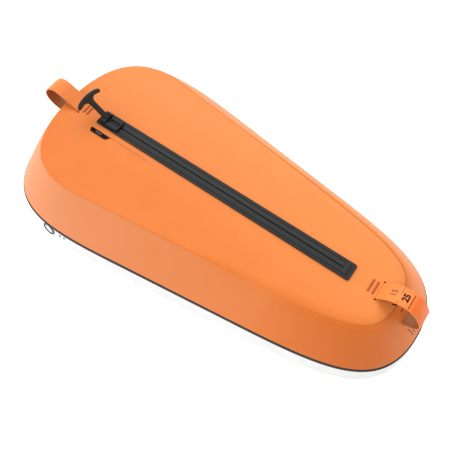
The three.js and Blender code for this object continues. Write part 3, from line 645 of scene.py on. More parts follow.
dress("main_board", board_finish, 0.0002)


# Upper housing. A pale grey moulded deck with a fine spark texture, printed with a plain
# ring round each button, that closes the electronics in and clamps the cover's flange.
SHOCK_PLACE = Vector((-0.068, 0.0, 0.0))
INFO_PLACE = Vector((-0.118, 0.0, 0.0))


def ring_mask(tree, place, centre, inner, outer):
    """1 between two distances from an upright axis, and 0 elsewhere."""
    away = off_axis(tree, place, centre)
    past_inner = calc(tree, "GREATER_THAN", away, inner)
    return calc(tree, "MULTIPLY", past_inner, calc(tree, "LESS_THAN", away, outer))


deck_finish, tree, shader, place, _, colour = mottled(
    "deck_plastic", 40.0, 5.0, (0.47, 0.48, 0.49), (0.55, 0.55, 0.55), 0.35)
spark = noisy(tree, place, 1400.0, 2.0)
colour = mixed(tree, ring_mask(tree, place, SHOCK_PLACE, 0.0190, 0.0204), colour, (0.66, 0.12, 0.012))
colour = mixed(tree, ring_mask(tree, place, INFO_PLACE, 0.0100, 0.0110), colour, (0.02, 0.08, 0.40))
finished(tree, shader, colour, ranged(tree, spark, 0.3, 0.7, 0.42, 0.55), spark, 0.00004)
dress("upper_housing", deck_finish, 0.0008)


# Deck buttons. Two glossy moulded caps that drop into the deck: the orange one gives the
# shock and the blue one repeats the spoken advice; each has a plain raised-look mark.
for node, slot_name, centre, dark, light, mark in (
    ("shock_button", "shock_orange", SHOCK_PLACE, (0.78, 0.085, 0.006), (0.86, 0.13, 0.012),
     [((-0.068, 0.0), (0.0016, 0.0072)), ((-0.068, 0.0), (0.0072, 0.0016))]),
    ("info_button", "info_blue", INFO_PLACE, (0.012, 0.10, 0.50), (0.03, 0.15, 0.58),
     [((-0.1188, 0.0), (0.0026, 0.0008)), ((-0.1138, 0.0), (0.0009, 0.0009))]),
):
    cap_gloss, tree, shader, place, cloud, colour = mottled(
        f"{slot_name}_gloss", 160.0, 5.0, dark, light, 0.35)
    shader.inputs["Coat Weight"].default_value = 0.4
    for spot, half in mark:
        colour = printed(tree, place, colour, (0.85, 0.85, 0.84), half, spot)
    finished(tree, shader, colour, ranged(tree, cloud, 0.3, 0.7, 0.18, 0.28), cloud, 0.00003)
    dress(node, cap_gloss, 0.0007, 3)


# Pads connector. A black socket on the deck, and the pale keyed plug that stays pushed
# into it so that the pads are ready to use.
dress("pads_socket", black_plastic, 0.0006, 3)
plug_plastic = moulded(
    "plug_plastic", (0.80, 0.80, 0.78), (0.70, 0.69, 0.66), 0.36, 0.0006, 0.00002, coat=0.1)
dress("pads_plug", plug_plastic, 0.0007, 3)


# Pads lead. A soft twin-core lead, held along the deck from the plug's tapered boot into
# the pouch, where its spare length lies folded between the pads.
LEAD_ROUTE = [
    (-17, 0, 51.8), (-26, 0, 51.6), (-37, 1.5, 51), (-44, 8, 49.6), (-50, 20, 48.9), (-60, 29, 48.8),
    (-74, 33, 48.9), (-90, 34, 50.2), (-98, 34, 50.6),
]


def smooth_line(points, steps=6):
    """A smooth line through points, bending least where they are far apart."""
    before, after = points[0] * 2 - points[1], points[-1] * 2 - points[-2]
    ends = [before, *points, after]
    line = []
    for first, start, end, last in zip(ends, ends[1:], ends[2:], ends[3:]):
        a, b, c = (math.sqrt((q - p).length) for p, q in ((first, start), (start, end), (end, last)))
        leave = (end * a * a - first * b * b + start * (2 * a * a + 3 * a * b + b * b)) / (3 * a * (a + b))
        arrive = (start * c * c - last * b * b + end * (2 * c * c + 3 * c * b + b * b)) / (3 * c * (c + b))
        line += interpolate_bezier(start, leave, arrive, end, steps)[:-1]
    return line + [points[-1]]


def tube(name, line, section):
    """A tube along a line: section gives its points across and up at a share of the way along."""
    rings = []
    for i, p in enumerate(line):
        run = (line[min(i + 1, len(line) - 1)] - line[max(i - 1, 0)]).normalized()
        across = run.cross(Vector((0, 0, 1))).normalized()
        up = across.cross(run)
        rings.append([p + across * a + up * b for a, b in section(i / (len(line) - 1))])
    return wrap(name, rings)


def twin_core(share):
    """Two round cores side by side under one skin, the same all the way along."""
    return [(0.0021 * p.x, 0.00125 * p.y * (1 - 0.32 * math.exp(-(3 * p.x) ** 2))) for p in circle(1.0, 28)]


def boot_section(share):
    """A round boot that tapers from the plug and is ringed so that it bends."""
    return circle(0.0031 - 0.0006 * share - 0.00025 * (int(share * 12) % 2), 28)


lead_line = smooth_line([Vector(p) / 1000 for p in LEAD_ROUTE], 8)
lead = tube("pads_twin_lead", lead_line, twin_core)
lead_skin, tree, shader, place, cloud, colour = mottled(
    "lead_skin", 420.0, 4.0, (0.42, 0.42, 0.41), (0.50, 0.50, 0.48), 0.35, specular=0.35)
finished(tree, shader, colour, ranged(tree, cloud, 0.3, 0.7, 0.45, 0.58), cloud, 0.00005)
fit(lead, "case", "lead_grey", lead_skin, "pads_lead")
boot_line = [p for p in smooth_line([Vector(p) / 1000 for p in LEAD_ROUTE], 16) if p.x < -0.083][::-1]
boot = tube("lead_boot", boot_line, boot_section)
boot_rubber = moulded("boot_rubber", (0.40, 0.40, 0.39), (0.48, 0.48, 0.47), 0.5, 0.0006, 0.00003)
fit(boot, "case", "lead_grey", boot_rubber)


# Electrode pads. Two stacked pads of soft white foam with rounded corners, each with a
# printed outline inside its edge, sealed in the pouch.
PAD_LOW, PAD_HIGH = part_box("electrode_pad_1")
PAD_CORNER = 0.012


def rounded_outline(low, high, radius, corner_steps=10, side_steps=10):
    """Points round an upright box's plan with round corners, anticlockwise."""
    corners = [(high.x - radius, high.y - radius, 0), (low.x + radius, high.y - radius, 90),
               (low.x + radius, low.y + radius, 180), (high.x - radius, low.y + radius, 270)]
    points = []
    for x, y, turn in corners:
        for k in range(corner_steps + 1):
            angle = math.radians(turn + 90 * k / corner_steps)
            points.append(Vector((x + radius * math.cos(angle), y + radius * math.sin(angle))))
    ring = []
    for here, there in zip(points, points[1:] + points[:1]):
        steps = side_steps if (there - here).length > radius else 1
        ring += [here.lerp(there, k / steps) for k in range(steps)]
    return ring


def eased(value, low, high):
    """0 below low, 1 above high, and a smooth rise between."""
    share = min(1.0, max(0.0, (value - low) / (high - low)))
    return share * share * (3 - 2 * share)


def drift(point, size, reach):
    """How far a soft surface stands off at a place: a slow, small ripple of a size and reach in metres."""
    return reach * noise.noise(point / size)


def pillow(name, ring, profile, crease=0.0):
    """A soft flat form inside a plan: rings part of the way in to the middle line, each at its height."""
    reach = max(p.y for p in ring)
    first, last = min(p.x for p in ring) + reach, max(p.x for p in ring) - reach
    rings = []
    for share, z in profile:
        flat = [p.lerp(Vector((min(last, max(first, p.x)), 0)), share) for p in ring]
        lift = crease * eased(share, 0.1, 0.35)
        rings.append([Vector((*p, z + drift(Vector((*p, z * 9)), 0.016, lift))) for p in flat])
    return wrap(name, rings)


foam, tree, shader, place, _, colour = mottled(
    "pad_foam_skin", 60.0, 5.0, (0.78, 0.77, 0.71), (0.70, 0.68, 0.61), 0.35, specular=0.25)
shader.inputs["Sheen Weight"].default_value = 0.2
cells = add_node(tree, "TexVoronoi", Vector=place, Scale=1500.0).outputs["Distance"]
colour = printed(tree, place, colour, (0.06, 0.16, 0.42), (0.044, 0.0005), (0.051, -0.021), (0.051, 0.021))
finished(tree, shader, colour, ranged(tree, cells, 0.0, 0.6, 0.82, 0.92), cells, 0.0001)
pad_ring = rounded_outline(PAD_LOW, PAD_HIGH, PAD_CORNER)
for number in (1, 2):
    pad_low, pad_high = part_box(f"electrode_pad_{number}")
    thick = pad_high.z - pad_low.z
    pad = pillow(f"foam_pad_{number}", pad_ring, [
        (share, pad_low.z + thick * height) for share, height in (
            (1.0, 0.02), (0.6, 0.01), (0.25, 0.0), (0.10, 0.0), (0.035, 0.06), (0.010, 0.20), (0.0, 0.42),
            (0.006, 0.62), (0.03, 0.80), (0.09, 0.90), (0.2, 0.95), (0.45, 0.99), (0.75, 1.0), (1.0, 1.0))
    ])
    fit(pad, "case", "pad_foam", foam, f"electrode_pad_{number}", smooth=50)


# Pads pouch. A foil envelope, crinkled over the pads and welded round a flat crimped
# border, with a gap in its end that the lead comes out of.
POUCH_LOW, POUCH_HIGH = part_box("pads_pouch")
POUCH_SKIN = 0.0005
POUCH_SEAM = 0.0508
POUCH_MOUTH = (Vector((-0.0315, 0, 0.0514)), (0.0090, 0.0112, 0.0050))
pouch_ring = rounded_outline(POUCH_LOW, POUCH_HIGH, 0.006, 8, 24)
swell = [(0.0, 0.0), (0.004, 0.05), (0.07, 0.06), (0.13, 0.08), (0.17, 0.38), (0.22, 0.70),
         (0.29, 0.88), (0.4, 0.95), (0.55, 0.97), (0.75, 0.98), (1.0, 0.98)]


def pouch_skin(name, inset):
    """The envelope's shape, set in from its outside."""
    top, bottom = POUCH_HIGH.z - POUCH_SEAM - inset, POUCH_SEAM - POUCH_LOW.z - inset
    under = [(share, POUCH_SEAM - bottom * height) for share, height in reversed(swell)]
    over = [(share, POUCH_SEAM + top * height) for share, height in swell[1:]]
    return pillow(name, grown(pouch_ring, -inset * 12), under + over, 0.0006)


pouch = pouch_skin("foil_pouch", 0.0)
cut_away(pouch, block(*POUCH_MOUTH))
cut_away(pouch, pouch_skin("hollow", POUCH_SKIN))
foil, tree, shader, place, cloud, colour = mottled(
    "crinkled_foil", 260.0, 5.0, (0.56, 0.58, 0.60), (0.70, 0.71, 0.72), 0.35)
shader.inputs["Metallic"].default_value = 0.9
crinkles = add_node(tree, "TexVoronoi", {"feature": "DISTANCE_TO_EDGE"}, Vector=place, Scale=95.0)
crimped = calc(tree, "SUBTRACT", 1.0, within(tree, place, (0.045, 0), (0.0715, 0.0325)))
crimps = calc(tree, "MULTIPLY", crimped, wavy(tree, place, "DIAGONAL", 0.0016))
colour = printed(tree, place, colour, (0.10, 0.24, 0.46), (0.052, 0.021), (0.045, 0))
colour = printed(tree, place, colour, (0.72, 0.74, 0.76), (0.034, 0.0011),
                 (0.045, -0.008), (0.045, 0.0), (0.045, 0.008))
surface = calc(tree, "ADD", calc(tree, "MULTIPLY", crinkles.outputs["Distance"], 1.4),
               calc(tree, "ADD", crimps, cloud))
finished(tree, shader, colour, ranged(tree, cloud, 0.3, 0.7, 0.24, 0.40), surface, 0.0004)
fit(pouch, "case", "foil", foil, "pads_pouch", smooth=40)


# Cover. Two panels of orange coated fabric over a firm liner: a leaning side wall and a
# flat top, welded edge to edge along a fine seam. The edge they share is a crisp fold at
# the wide end and opens into a soft roll towards the narrow end.
RIM_HEIGHT = 0.028
TOP_HEIGHT = 0.067
TOP = {
    "wide": -0.1782, "narrow": 0.1704,
    "shoulder": (-0.0944, 0.0740), "waist": (0.0125, 0.0607),
    "pull": (0.0887, 0.0205, 0.1441, 0.0372),
}
WALL_BULGE = 0.0010
WALL_THICKNESS = 0.0022
TOP_THICKNESS = 0.0016
FOLD_SHARP = 0.0016
FOLD_SOFT = 0.0090
ROLL_FROM = -0.060
ROLL_TO = 0.120
SEAM_WIDTH = 0.00018
SEAM_DIP = 0.00020
ZIP_MOUTH = (-0.134, 0.122, 0.0046)

top_ring = outline(TOP)
stations = range(len(top_ring))


def wall_place(i, share, inset=0.0):
    """A place on the side wall: a share of the way up from the rim to the top, set in from its face."""
    flat = rim_ring[i].lerp(top_ring[i], share)
    facing = (outward_at(rim_ring, i) + outward_at(top_ring, i)).normalized()
    out = WALL_BULGE * math.sin(math.pi * share) - inset
    return Vector((*(flat + facing * out), RIM_HEIGHT + share * (TOP_HEIGHT - RIM_HEIGHT)))


def fold_reach(i):
    """How far the fold at the top of the wall reaches from the edge that it rounds."""
    return FOLD_SHARP + (FOLD_SOFT - FOLD_SHARP) * eased(top_ring[i].x, ROLL_FROM, ROLL_TO)


def fold_place(i, share, inset=0.0):
    """A place round the fold at the top of the wall: 0 on the wall, 0.5 on the seam, 1 on the top."""
    corner = Vector((*top_ring[i], TOP_HEIGHT))
    down = (wall_place(i, 0.8) - corner).normalized()
    inward = Vector((*(-outward_at(top_ring, i)), 0))
    start, end = corner + down * fold_reach(i), corner + inward * fold_reach(i)
    spot = start * (1 - share) ** 2 + corner * (2 * share * (1 - share)) + end * share ** 2
    run = (corner - start) * (1 - share) + (end - corner) * share
    out = Vector((*outward_at(top_ring, i), 0))
    facing = out * run.z - Vector((0, 0, run.dot(out)))
    return spot - facing.normalized() * inset


def pressed(i):
    """How far the seam is pressed shut: open round the wide end and the far side, and shut along the near
    side, most where it rolls over widest."""
    return eased(-top_ring[i].y, 0.0, 0.045) * (0.75 + 0.25 * eased(top_ring[i].x, -0.02, 0.08))


def fold_share(i, distance):
    """The share round the fold at a distance along it from the seam."""
    return 0.5 + distance / (1.85 * fold_reach(i))


def seam_edge(i, side):
    """The four places where a panel turns in at the seam, on the wall's side or the top's."""
    gap = SEAM_WIDTH * (1 - 0.85 * pressed(i))
    dip = SEAM_DIP * (1 - 0.9 * pressed(i))
    return [
        fold_place(i, fold_share(i, side * (gap + 0.0003))),
        fold_place(i, fold_share(i, side * gap), dip * 0.12),
        fold_place(i, fold_share(i, side * gap * 0.45), dip * 0.6),
        fold_place(i, fold_share(i, side * gap * 0.2), dip + 0.0006),
    ]


def ripple(ring, size=0.035, reach=0.00022):
    """A ring with the slow ripple of fabric on it."""
    return [p + Vector((p.x, p.y, 0)).normalized() * drift(p, size, reach) for p in ring]


def towards_seam(i, side, share):
    """A place between the end of the fold and the first turn at the seam."""
    end = 0.0 if side < 0 else 1.0
    first = fold_share(i, side * (SEAM_WIDTH + 0.0003))
    return fold_place(i, end + (first - end) * share)


wall_shares = [0.012, 0.03, 0.06, 0.12, 0.2, 0.3, 0.4, 0.5, 0.6, 0.68, 0.74]
wall_rings = [[wall_place(i, 0.006, 0.0006) for i in stations]]
wall_rings += [ripple([wall_place(i, share) for i in stations]) for share in wall_shares]
wall_rings += [[wall_place(i, 0.74).lerp(fold_place(i, 0.0), 0.5) for i in stations]]
wall_rings += [[towards_seam(i, -1, share) for i in stations] for share in (0.0, 0.2, 0.4, 0.6, 0.8)]
wall_rings += [list(ring) for ring in zip(*[seam_edge(i, -1) for i in stations])]
wall_seam_row = len(wall_rings) - 2
wall_rings += [[fold_place(i, 0.3, WALL_THICKNESS * 0.8) for i in stations]]
wall_rings += [[wall_place(i, share, WALL_THICKNESS) for i in stations] for share in (0.72, 0.5, 0.25, 0.03)]
wall_rings += [[wall_place(i, 0.006, WALL_THICKNESS - 0.0005) for i in stations]]
wall = wrap("cover_wall_panel", wall_rings, closed=True, zero_row=wall_seam_row)


def mouth_place(i):
    """The place on the edge of the zip's mouth that faces a place on the outline."""
    low, high, half = ZIP_MOUTH
    span = (top_ring[i].x - TOP["wide"]) / (TOP["narrow"] - TOP["wide"])
    return Vector((low + span * (high - low), min(half, max(-half, top_ring[i].y * 0.19)), TOP_HEIGHT))


def top_place(i, share, inset=0.0):
    """A place on the flat top, from the fold at 0 to the zip's mouth at 1."""
    spot = fold_place(i, 1.0).lerp(mouth_place(i), share)
    slack = eased(share, 0.0, 0.15) * (1 - eased(share, 0.75, 0.95))
    return spot + Vector((0, 0, -inset - slack * (0.0001 + abs(drift(spot, 0.04, 0.00025)))))


top_rings = [list(ring) for ring in zip(*[seam_edge(i, 1)[::-1] for i in stations])]
top_rings += [[towards_seam(i, 1, share) for i in stations] for share in (0.8, 0.6, 0.4, 0.2, 0.0)]
top_rings += [[top_place(i, t) for i in stations]
              for t in (0.03, 0.07, 0.12, 0.18, 0.25, 0.32, 0.4, 0.48, 0.56, 0.64, 0.72, 0.8, 0.88, 0.95,
                        1.0)]
top_rings += [[top_place(i, t, TOP_THICKNESS) for i in stations] for t in (1.0, 0.8, 0.5, 0.2, 0.0)]
top_rings += [[fold_place(i, 0.75, TOP_THICKNESS) for i in stations]]
top = wrap("cover_top_panel", top_rings, closed=True, zero_row=1)

ORANGE = (0.785, 0.192, 0.026)
ORANGE_PALE = (0.800, 0.212, 0.036)
ORANGE_DEEP = (0.460, 0.085, 0.012)
ORANGE_SEAM_SHADE = (0.300, 0.060, 0.012)
ORANGE_RUBBED = (0.78, 0.32, 0.12)
ORANGE_PAINTED_SHEEN = (0.840, 0.300, 0.125)
ORANGE_TOP_PAINTED_LIGHT = (0.870, 0.275, 0.062)
ORANGE_FAR_PAINTED_LIGHT = (0.850, 0.235, 0.0)
ORANGE_SHADED = (0.640, 0.132, 0.004)
UNDERSIDE_SHADE_BROWN = (0.32, 0.110, 0.030)
PRINT_BROWN = (0.30, 0.045, 0.008)
WEAVE_PITCH = 0.00055


def weave(tree, place, pitch):
    """The ups and downs of a plain weave, from 0 to 1, with that many metres between threads."""
    bands = [
        add_node(tree, "TexWave", {"bands_direction": way}, Vector=place, Scale=math.tau / 20 / pitch,
                 Distortion=0.15, Detail=0.0).outputs["Fac"]
        for way in ("X", "Y")
    ]
    return calc(tree, "MULTIPLY", *bands)


def coated_fabric(name, pitch, seam_shaded=False, underside_shaded_from=None, tints_and_painted_light=(), prints=()):
    """Woven fabric under a thin satin coating: the weave shows through it faintly and it is paler where it
    is rubbed. With its seam shaded, painted shade darkens it along the seam groove; with its underside
    shaded from a place along its rings on, it is painted dark brown from there on, as shade. Its tints and
    painted light are other colours that it drifts to along and across the case: a plain tint, or painted
    light and shade where light falls brighter or dimmer. Prints are bars in darker ink, each a middle, a half
    size and a strength."""
    made, tree, shader, place = new_finish(name, 0.30)
    shader.inputs["Sheen Weight"].default_value = 0.08
    shader.inputs["Sheen Roughness"].default_value = 0.4
    shader.inputs["Sheen Tint"].default_value = (1.0, 0.90, 0.84, 1)
    cloth = tree.nodes.new("ShaderNodeTexCoord").outputs["UV"]
    threads = weave(tree, cloth, pitch)
    cloud = noisy(tree, place, 22.0, 5.0, 0.62)
    scuff = noisy(tree, place, 260.0, 4.0, 0.7)
    colour = mixed(tree, ranged(tree, cloud, 0.35, 0.7), ORANGE, ORANGE_PALE)
    spot = add_node(tree, "SeparateXYZ", Vector=place)
    for along, across, shade, strength in tints_and_painted_light:
        share = calc(tree, "MULTIPLY", ranged(tree, spot.outputs["X"], *along, 0.0, strength),
                     ranged(tree, spot.outputs["Y"], *across))
        colour = mixed(tree, share, colour, shade)
    colour = mixed(tree, ranged(tree, threads, 0.0, 0.5, 0.10, 0.0), colour, ORANGE_DEEP)
    ridge = add_node(tree, "NewGeometry").outputs["Pointiness"]
    colour = mixed(tree, ranged(tree, ridge, 0.53, 0.60, 0.0, 0.15), colour, ORANGE_RUBBED)
    spread = add_node(tree, "SeparateXYZ", Vector=cloth)
    if seam_shaded:
        # Painted shade along the seam groove, fainter on the near side where the seam is pressed shut.
        near = ranged(tree, spot.outputs["Y"], 0.0, -0.045)
        narrow = ranged(tree, spot.outputs["X"], -0.02, 0.08, 0.75, 1.0)
        shut = calc(tree, "SUBTRACT", 1.0, calc(tree, "MULTIPLY", near, narrow))
        beside = ranged(tree, calc(tree, "ABSOLUTE", spread.outputs["Y"]), 0.00055, 0.00020, 0.0, 0.55)
        colour = mixed(tree, calc(tree, "MULTIPLY", beside, shut), colour, ORANGE_SEAM_SHADE)
    if underside_shaded_from:
        # Painted shade: from that place along its rings on, over the strap's underside, it is painted dark
        # brown.
        inner = calc(tree, "GREATER_THAN", spread.outputs["X"], underside_shaded_from)
        colour = mixed(tree, inner, colour, UNDERSIDE_SHADE_BROWN)
    for centre, half, strength in prints:
        covered = calc(tree, "MULTIPLY", within(tree, place, centre, half), strength)
        colour = mixed(tree, covered, colour, PRINT_BROWN)
    gloss = calc(tree, "ADD", ranged(tree, scuff, 0.3, 0.7, 0.46, 0.56),
                 ranged(tree, threads, 0, 1, 0.03, -0.03))
    finished(tree, shader, colour, gloss)
    soft = add_node(tree, "Bump", Height=threads, Strength=0.5, Distance=0.00003)
    rough = add_node(tree, "Bump", Height=scuff, Strength=0.4, Distance=0.00003, Normal=soft.outputs[0])
    tree.links.new(rough.outputs[0], shader.inputs["Normal"])
    return made


ANYWHERE = (-2.0, -1.0)
wall_fabric = coated_fabric("wall_fabric", WEAVE_PITCH, seam_shaded=True, tints_and_painted_light=[
    # Painted sheen: the near side of the wide end is painted paler, as light falling there would make it.
    ((0.12, -0.19), (0.08, -0.03), ORANGE_PAINTED_SHEEN, 1.0),
    # Painted light: the far side is painted a brighter, purer orange, as the light falling there would make
    # it.
    (ANYWHERE, (0.02, 0.07), ORANGE_FAR_PAINTED_LIGHT, 0.8),
    # Painted shade: the near narrow corner is painted deeper.
    ((0.08, 0.165), (-0.01, -0.045), ORANGE_SHADED, 0.85),
])
top_fabric = coated_fabric("top_fabric", WEAVE_PITCH, seam_shaded=True, tints_and_painted_light=[
    # Painted light: the far side of the top is painted paler, as the light falling there would make it.
    (ANYWHERE, (-0.035, 0.055), ORANGE_TOP_PAINTED_LIGHT, 0.75),
    # Painted light: the top is painted paler towards the narrow end, away from its near edge.
    ((-0.05, 0.16), (-0.055, -0.02), ORANGE_TOP_PAINTED_LIGHT, 0.55),
], prints=[
    ((-0.0960, -0.0134), (0.0215, 0.00024), 0.9),
    ((-0.0850, -0.0160), (0.0110, 0.00018), 0.4),
])


# Webbing loops. One pull loop at each end: flat coated webbing that comes up through a
# slit in the top, arches over the edge and is sewn into the side wall below it.
STRAP_WIDTH = 0.016
STRAP_THICKNESS = 0.0014
STRAP_WEAVE = 0.0008
ORANGE_STRAP = (0.900, 0.245, 0.048)
SLIT_PLAY = 0.0003
WIDE_SLIT = -0.1615
NARROW_SLIT = 0.153
WIDE_LOOP = [
    (-143.5, -2.7), (-158.6, -2.7), (-161.0, -1.6), (-162.6, 0.6), (-168.5, 2.6), (-177.0, 6.4),
    (-184.0, 9.2), (-190.0, 9.8), (-196.0, 7.4), (-201.4, 2.4), (-205.0, -4.4), (-204.6, -11.2),
    (-199.6, -16.4), (-191.0, -19.6), (-182.5, -21.4),
]
NARROW_LOOP = [
    (135.0, -2.7), (149.6, -2.7), (152.2, -1.6), (153.8, 0.6), (157.4, 5.6), (162.4, 10.4), (167.3, 12.9),
    (172.8, 13.8), (178.8, 13.1), (184.4, 9.9), (188.6, 4.8), (191.6, -0.4), (192.8, -5.8), (190.4, -10.6),
    (184.2, -13.4), (175.5, -15.2),
]


def strap_line(places):
    """The middle line of a loop, from its places in millimetres along and above the top."""
    return smooth_line([Vector((x / 1000, 0, TOP_HEIGHT + z / 1000)) for x, z in places])


def strap_lift(line, i):
    """The direction square to a strap's outer face."""
    run = (line[min(i + 1, len(line) - 1)] - line[max(i - 1, 0)]).normalized()
    return Vector((-run.z, 0, run.x)) * math.copysign(1, line[-1].x)


def strap(name, line, width, thickness, sides=28):
    """Flat webbing along a line, with rounded edges."""
    section = []
    for k in range(sides):
        turn = math.tau * k / sides
        across = math.copysign(abs(math.cos(turn)) ** 0.22, math.cos(turn)) * width / 2
        up = math.copysign(abs(math.sin(turn)) ** 0.40, math.sin(turn)) * thickness / 2
        section.append((across, up))
    rings = [
        [p + Vector((0, across, 0)) + strap_lift(line, i) * up for across, up in section]
        for i, p in enumerate(line)
    ]
    return wrap(name, rings)


def passage(line):
    """A strap's own shape with play round it, to cut its way through the cover."""
    return strap("passage", line, STRAP_WIDTH + 2 * SLIT_PLAY, STRAP_THICKNESS + 2 * SLIT_PLAY, 16)


def slit_ends(x):
    """The tools for the round hole at each end of a slit."""
    return [
        peg(0.0011, -0.006, 0.004, Matrix.Translation((x, side * 0.0084, TOP_HEIGHT)), 20) for side in (-1, 1)
    ]


wide_line = strap_line(WIDE_LOOP)
narrow_line = strap_line(NARROW_LOOP)
cut_away(wall, passage(wide_line), passage(narrow_line))
cut_away(top, passage(wide_line), *slit_ends(WIDE_SLIT), passage(narrow_line), *slit_ends(NARROW_SLIT))
fit(wall, "case", "orange_fabric", wall_fabric, "cover_wall")
fit(top, "case", "orange_fabric", top_fabric, "cover_top")

webbing = coated_fabric("loop_webbing", STRAP_WEAVE, underside_shaded_from=STRAP_WIDTH + STRAP_THICKNESS, tints_and_painted_light=[
    (ANYWHERE, ANYWHERE, ORANGE_STRAP, 0.9),
])
for end, line in (("wide", wide_line), ("narrow", narrow_line)):
    loop = strap(f"{end}_loop_webbing", line, STRAP_WIDTH, STRAP_THICKNESS)
    fit(loop, "case", "orange_webbing", webbing, f"{end}_end_loop")


# Marks at the narrow loop. A plain printed scale with its ticks, the ends of a printed
# pattern on the cover under the loop, and a smooth orange sleeve bonded over its outer end.
PRINT_LIFT = 0.00006
narrow_run = running_length(narrow_line)


def run_at(x):
    """How far along the narrow loop it first comes to a place past its slit."""
    return next(run for run, p in zip(narrow_run, narrow_line) if p.x >= x)


def on_loop(run, across, lift):
    """A place on the narrow loop's outer face: so far along, across and off it."""
    i = next(k for k, total in enumerate(narrow_run) if total >= run)
    share = (run - narrow_run[i - 1]) / (narrow_run[i] - narrow_run[i - 1])
    middle = narrow_line[i - 1].lerp(narrow_line[i], share)
    facing = strap_lift(narrow_line, i - 1).lerp(strap_lift(narrow_line, i), share)
    return middle + Vector((0, across, 0)) + facing * (STRAP_THICKNESS / 2 + lift)


def laid_on_loop(piece, run):
    """Bends a flat piece over the loop, its upright way back towards the slit."""
    bpy.context.view_layer.objects.active = piece
    bpy.ops.object.mode_set(mode="EDIT")
    for step in range(-6, 7):
        bpy.ops.mesh.select_all(action="SELECT")
        bpy.ops.mesh.bisect(plane_co=(0, step * 0.0008, 0), plane_no=(0, 1, 0))
    bpy.ops.object.mode_set(mode="OBJECT")
    for vertex in piece.data.vertices:
        vertex.co = on_loop(run - vertex.co.y, vertex.co.x, PRINT_LIFT + vertex.co.z)


def ink(name, colour):
    """Printed ink, worn thin in patches."""
    paler = [part * 1.6 + 0.01 for part in colour]
    made, tree, shader, _, cloud, shade = mottled(name, 1500.0, 4.0, colour, paler, 0.45, specular=0.1)
    finished(tree, shader, shade, ranged(tree, cloud, 0.3, 0.7, 0.5, 0.65))
    return made


dark_ink = ink("dark_ink", (0.026, 0.005, 0.003))
faded_ink = ink("faded_ink", (0.20, 0.075, 0.055))
for name, text, size, weight, x, finish in (
    ("scale_mark_15", "15", 0.0064, 0.00012, 0.1624, faded_ink),
    ("scale_mark_25", "25", 0.0068, 0.00026, 0.1712, dark_ink),
):
    bpy.ops.object.text_add(location=(0, 0, 0))
    bpy.context.object.name = name
    words = bpy.context.object.data
    words.body = text
    words.size = size
    words.offset = weight
    words.align_x = "CENTER"
    words.align_y = "CENTER"
    words.extrude = 0.00004
    bpy.ops.object.convert(target="MESH")
    laid_on_loop(bpy.context.object, run_at(x))
    fit(bpy.context.object, "case", "orange_webbing", finish)
for name, x, across, length, width, finish in (
    ("scale_tick_1", 0.1668, 0.0040, 0.0052, 0.00035, faded_ink),
    ("scale_tick_2", 0.1668, -0.0066, 0.0018, 0.00035, dark_ink),
    ("sleeve_line", 0.1758, -0.0006, 0.0130, 0.00050, dark_ink),
):
    tick = block((across, 0, 0), (length, width, 0.00008))
    tick.name = name
    laid_on_loop(tick, run_at(x))
    fit(tick, "case", "orange_webbing", finish)


def stroke(name, skin, start, end, width, finish):
    """A printed stroke from start to end, lying on a skin."""
    rings = []
    for k in range(9):
        _, spot, facing, _ = skin.closest_point_on_mesh(start.lerp(end, k / 8))
        across = facing.cross(end - start).normalized() * width / 2
        low, high = facing * 0.00001, facing * (0.00001 + PRINT_LIFT)
        rings.append([spot + across + low, spot + across + high, spot - across + high, spot - across + low])
    fit(wrap(name, rings), "case", "orange_fabric", finish)


grey_ink = ink("grey_ink", (0.13, 0.11, 0.10))
for name, skin, start, end, width, finish in (
    ("print_bar_1", top, (0.1662, -0.0041, 0.0664), (0.1699, -0.0018, 0.0652), 0.0012, dark_ink),
    ("print_bar_2", wall, (0.1751, -0.0034, 0.0610), (0.1749, 0.0006, 0.0613), 0.0008, dark_ink),
    ("print_dot", wall, (0.1832, -0.0072, 0.0504), (0.1837, -0.0072, 0.0494), 0.0012, dark_ink),
    ("print_chevron_1", wall, (0.1880, -0.0050, 0.0432), (0.1952, -0.0030, 0.0336), 0.0012, grey_ink),
    ("print_chevron_2", wall, (0.1915, -0.0012, 0.0382), (0.1955, 0.0004, 0.0330), 0.0012, grey_ink),
):
    stroke(name, skin, Vector(start), Vector(end), width, finish)

SLEEVE_LENGTH = 0.0215
sleeve_start = run_at(0.1772)
sleeve_rings = []
for k in range(25):
    run = sleeve_start + SLEEVE_LENGTH * k / 24
    end_gap = min(run - sleeve_start, sleeve_start + SLEEVE_LENGTH - run)
    half = 0.0072 - 0.0022 * (1 - eased(end_gap, 0.0, 0.0024)) ** 2
    rise = 0.35 + 0.65 * eased(end_gap, 0, 0.0008)
    edge = [(-half, 0.0), (-half + 0.00015, 0.00035), (-half + 0.0005, 0.0005), (0.0, 0.00055),
            (half - 0.0005, 0.0005), (half - 0.00015, 0.00035), (half, 0.0)]
    sleeve_rings.append([on_loop(run, across, lift * rise + 0.00001) for across, lift in edge])
sleeve_skin, tree, shader, place, cloud, colour = mottled(
    "sleeve_skin", 180.0, 4.0, (0.86, 0.160, 0.012), (0.88, 0.185, 0.024), 0.35, 0.65, specular=0.4)
finished(tree, shader, colour, ranged(tree, cloud, 0.3, 0.7, 0.40, 0.50), cloud, 0.00004, 0.4)
fit(wrap("loop_sleeve", sleeve_rings), "case", "orange_webbing", sleeve_skin)


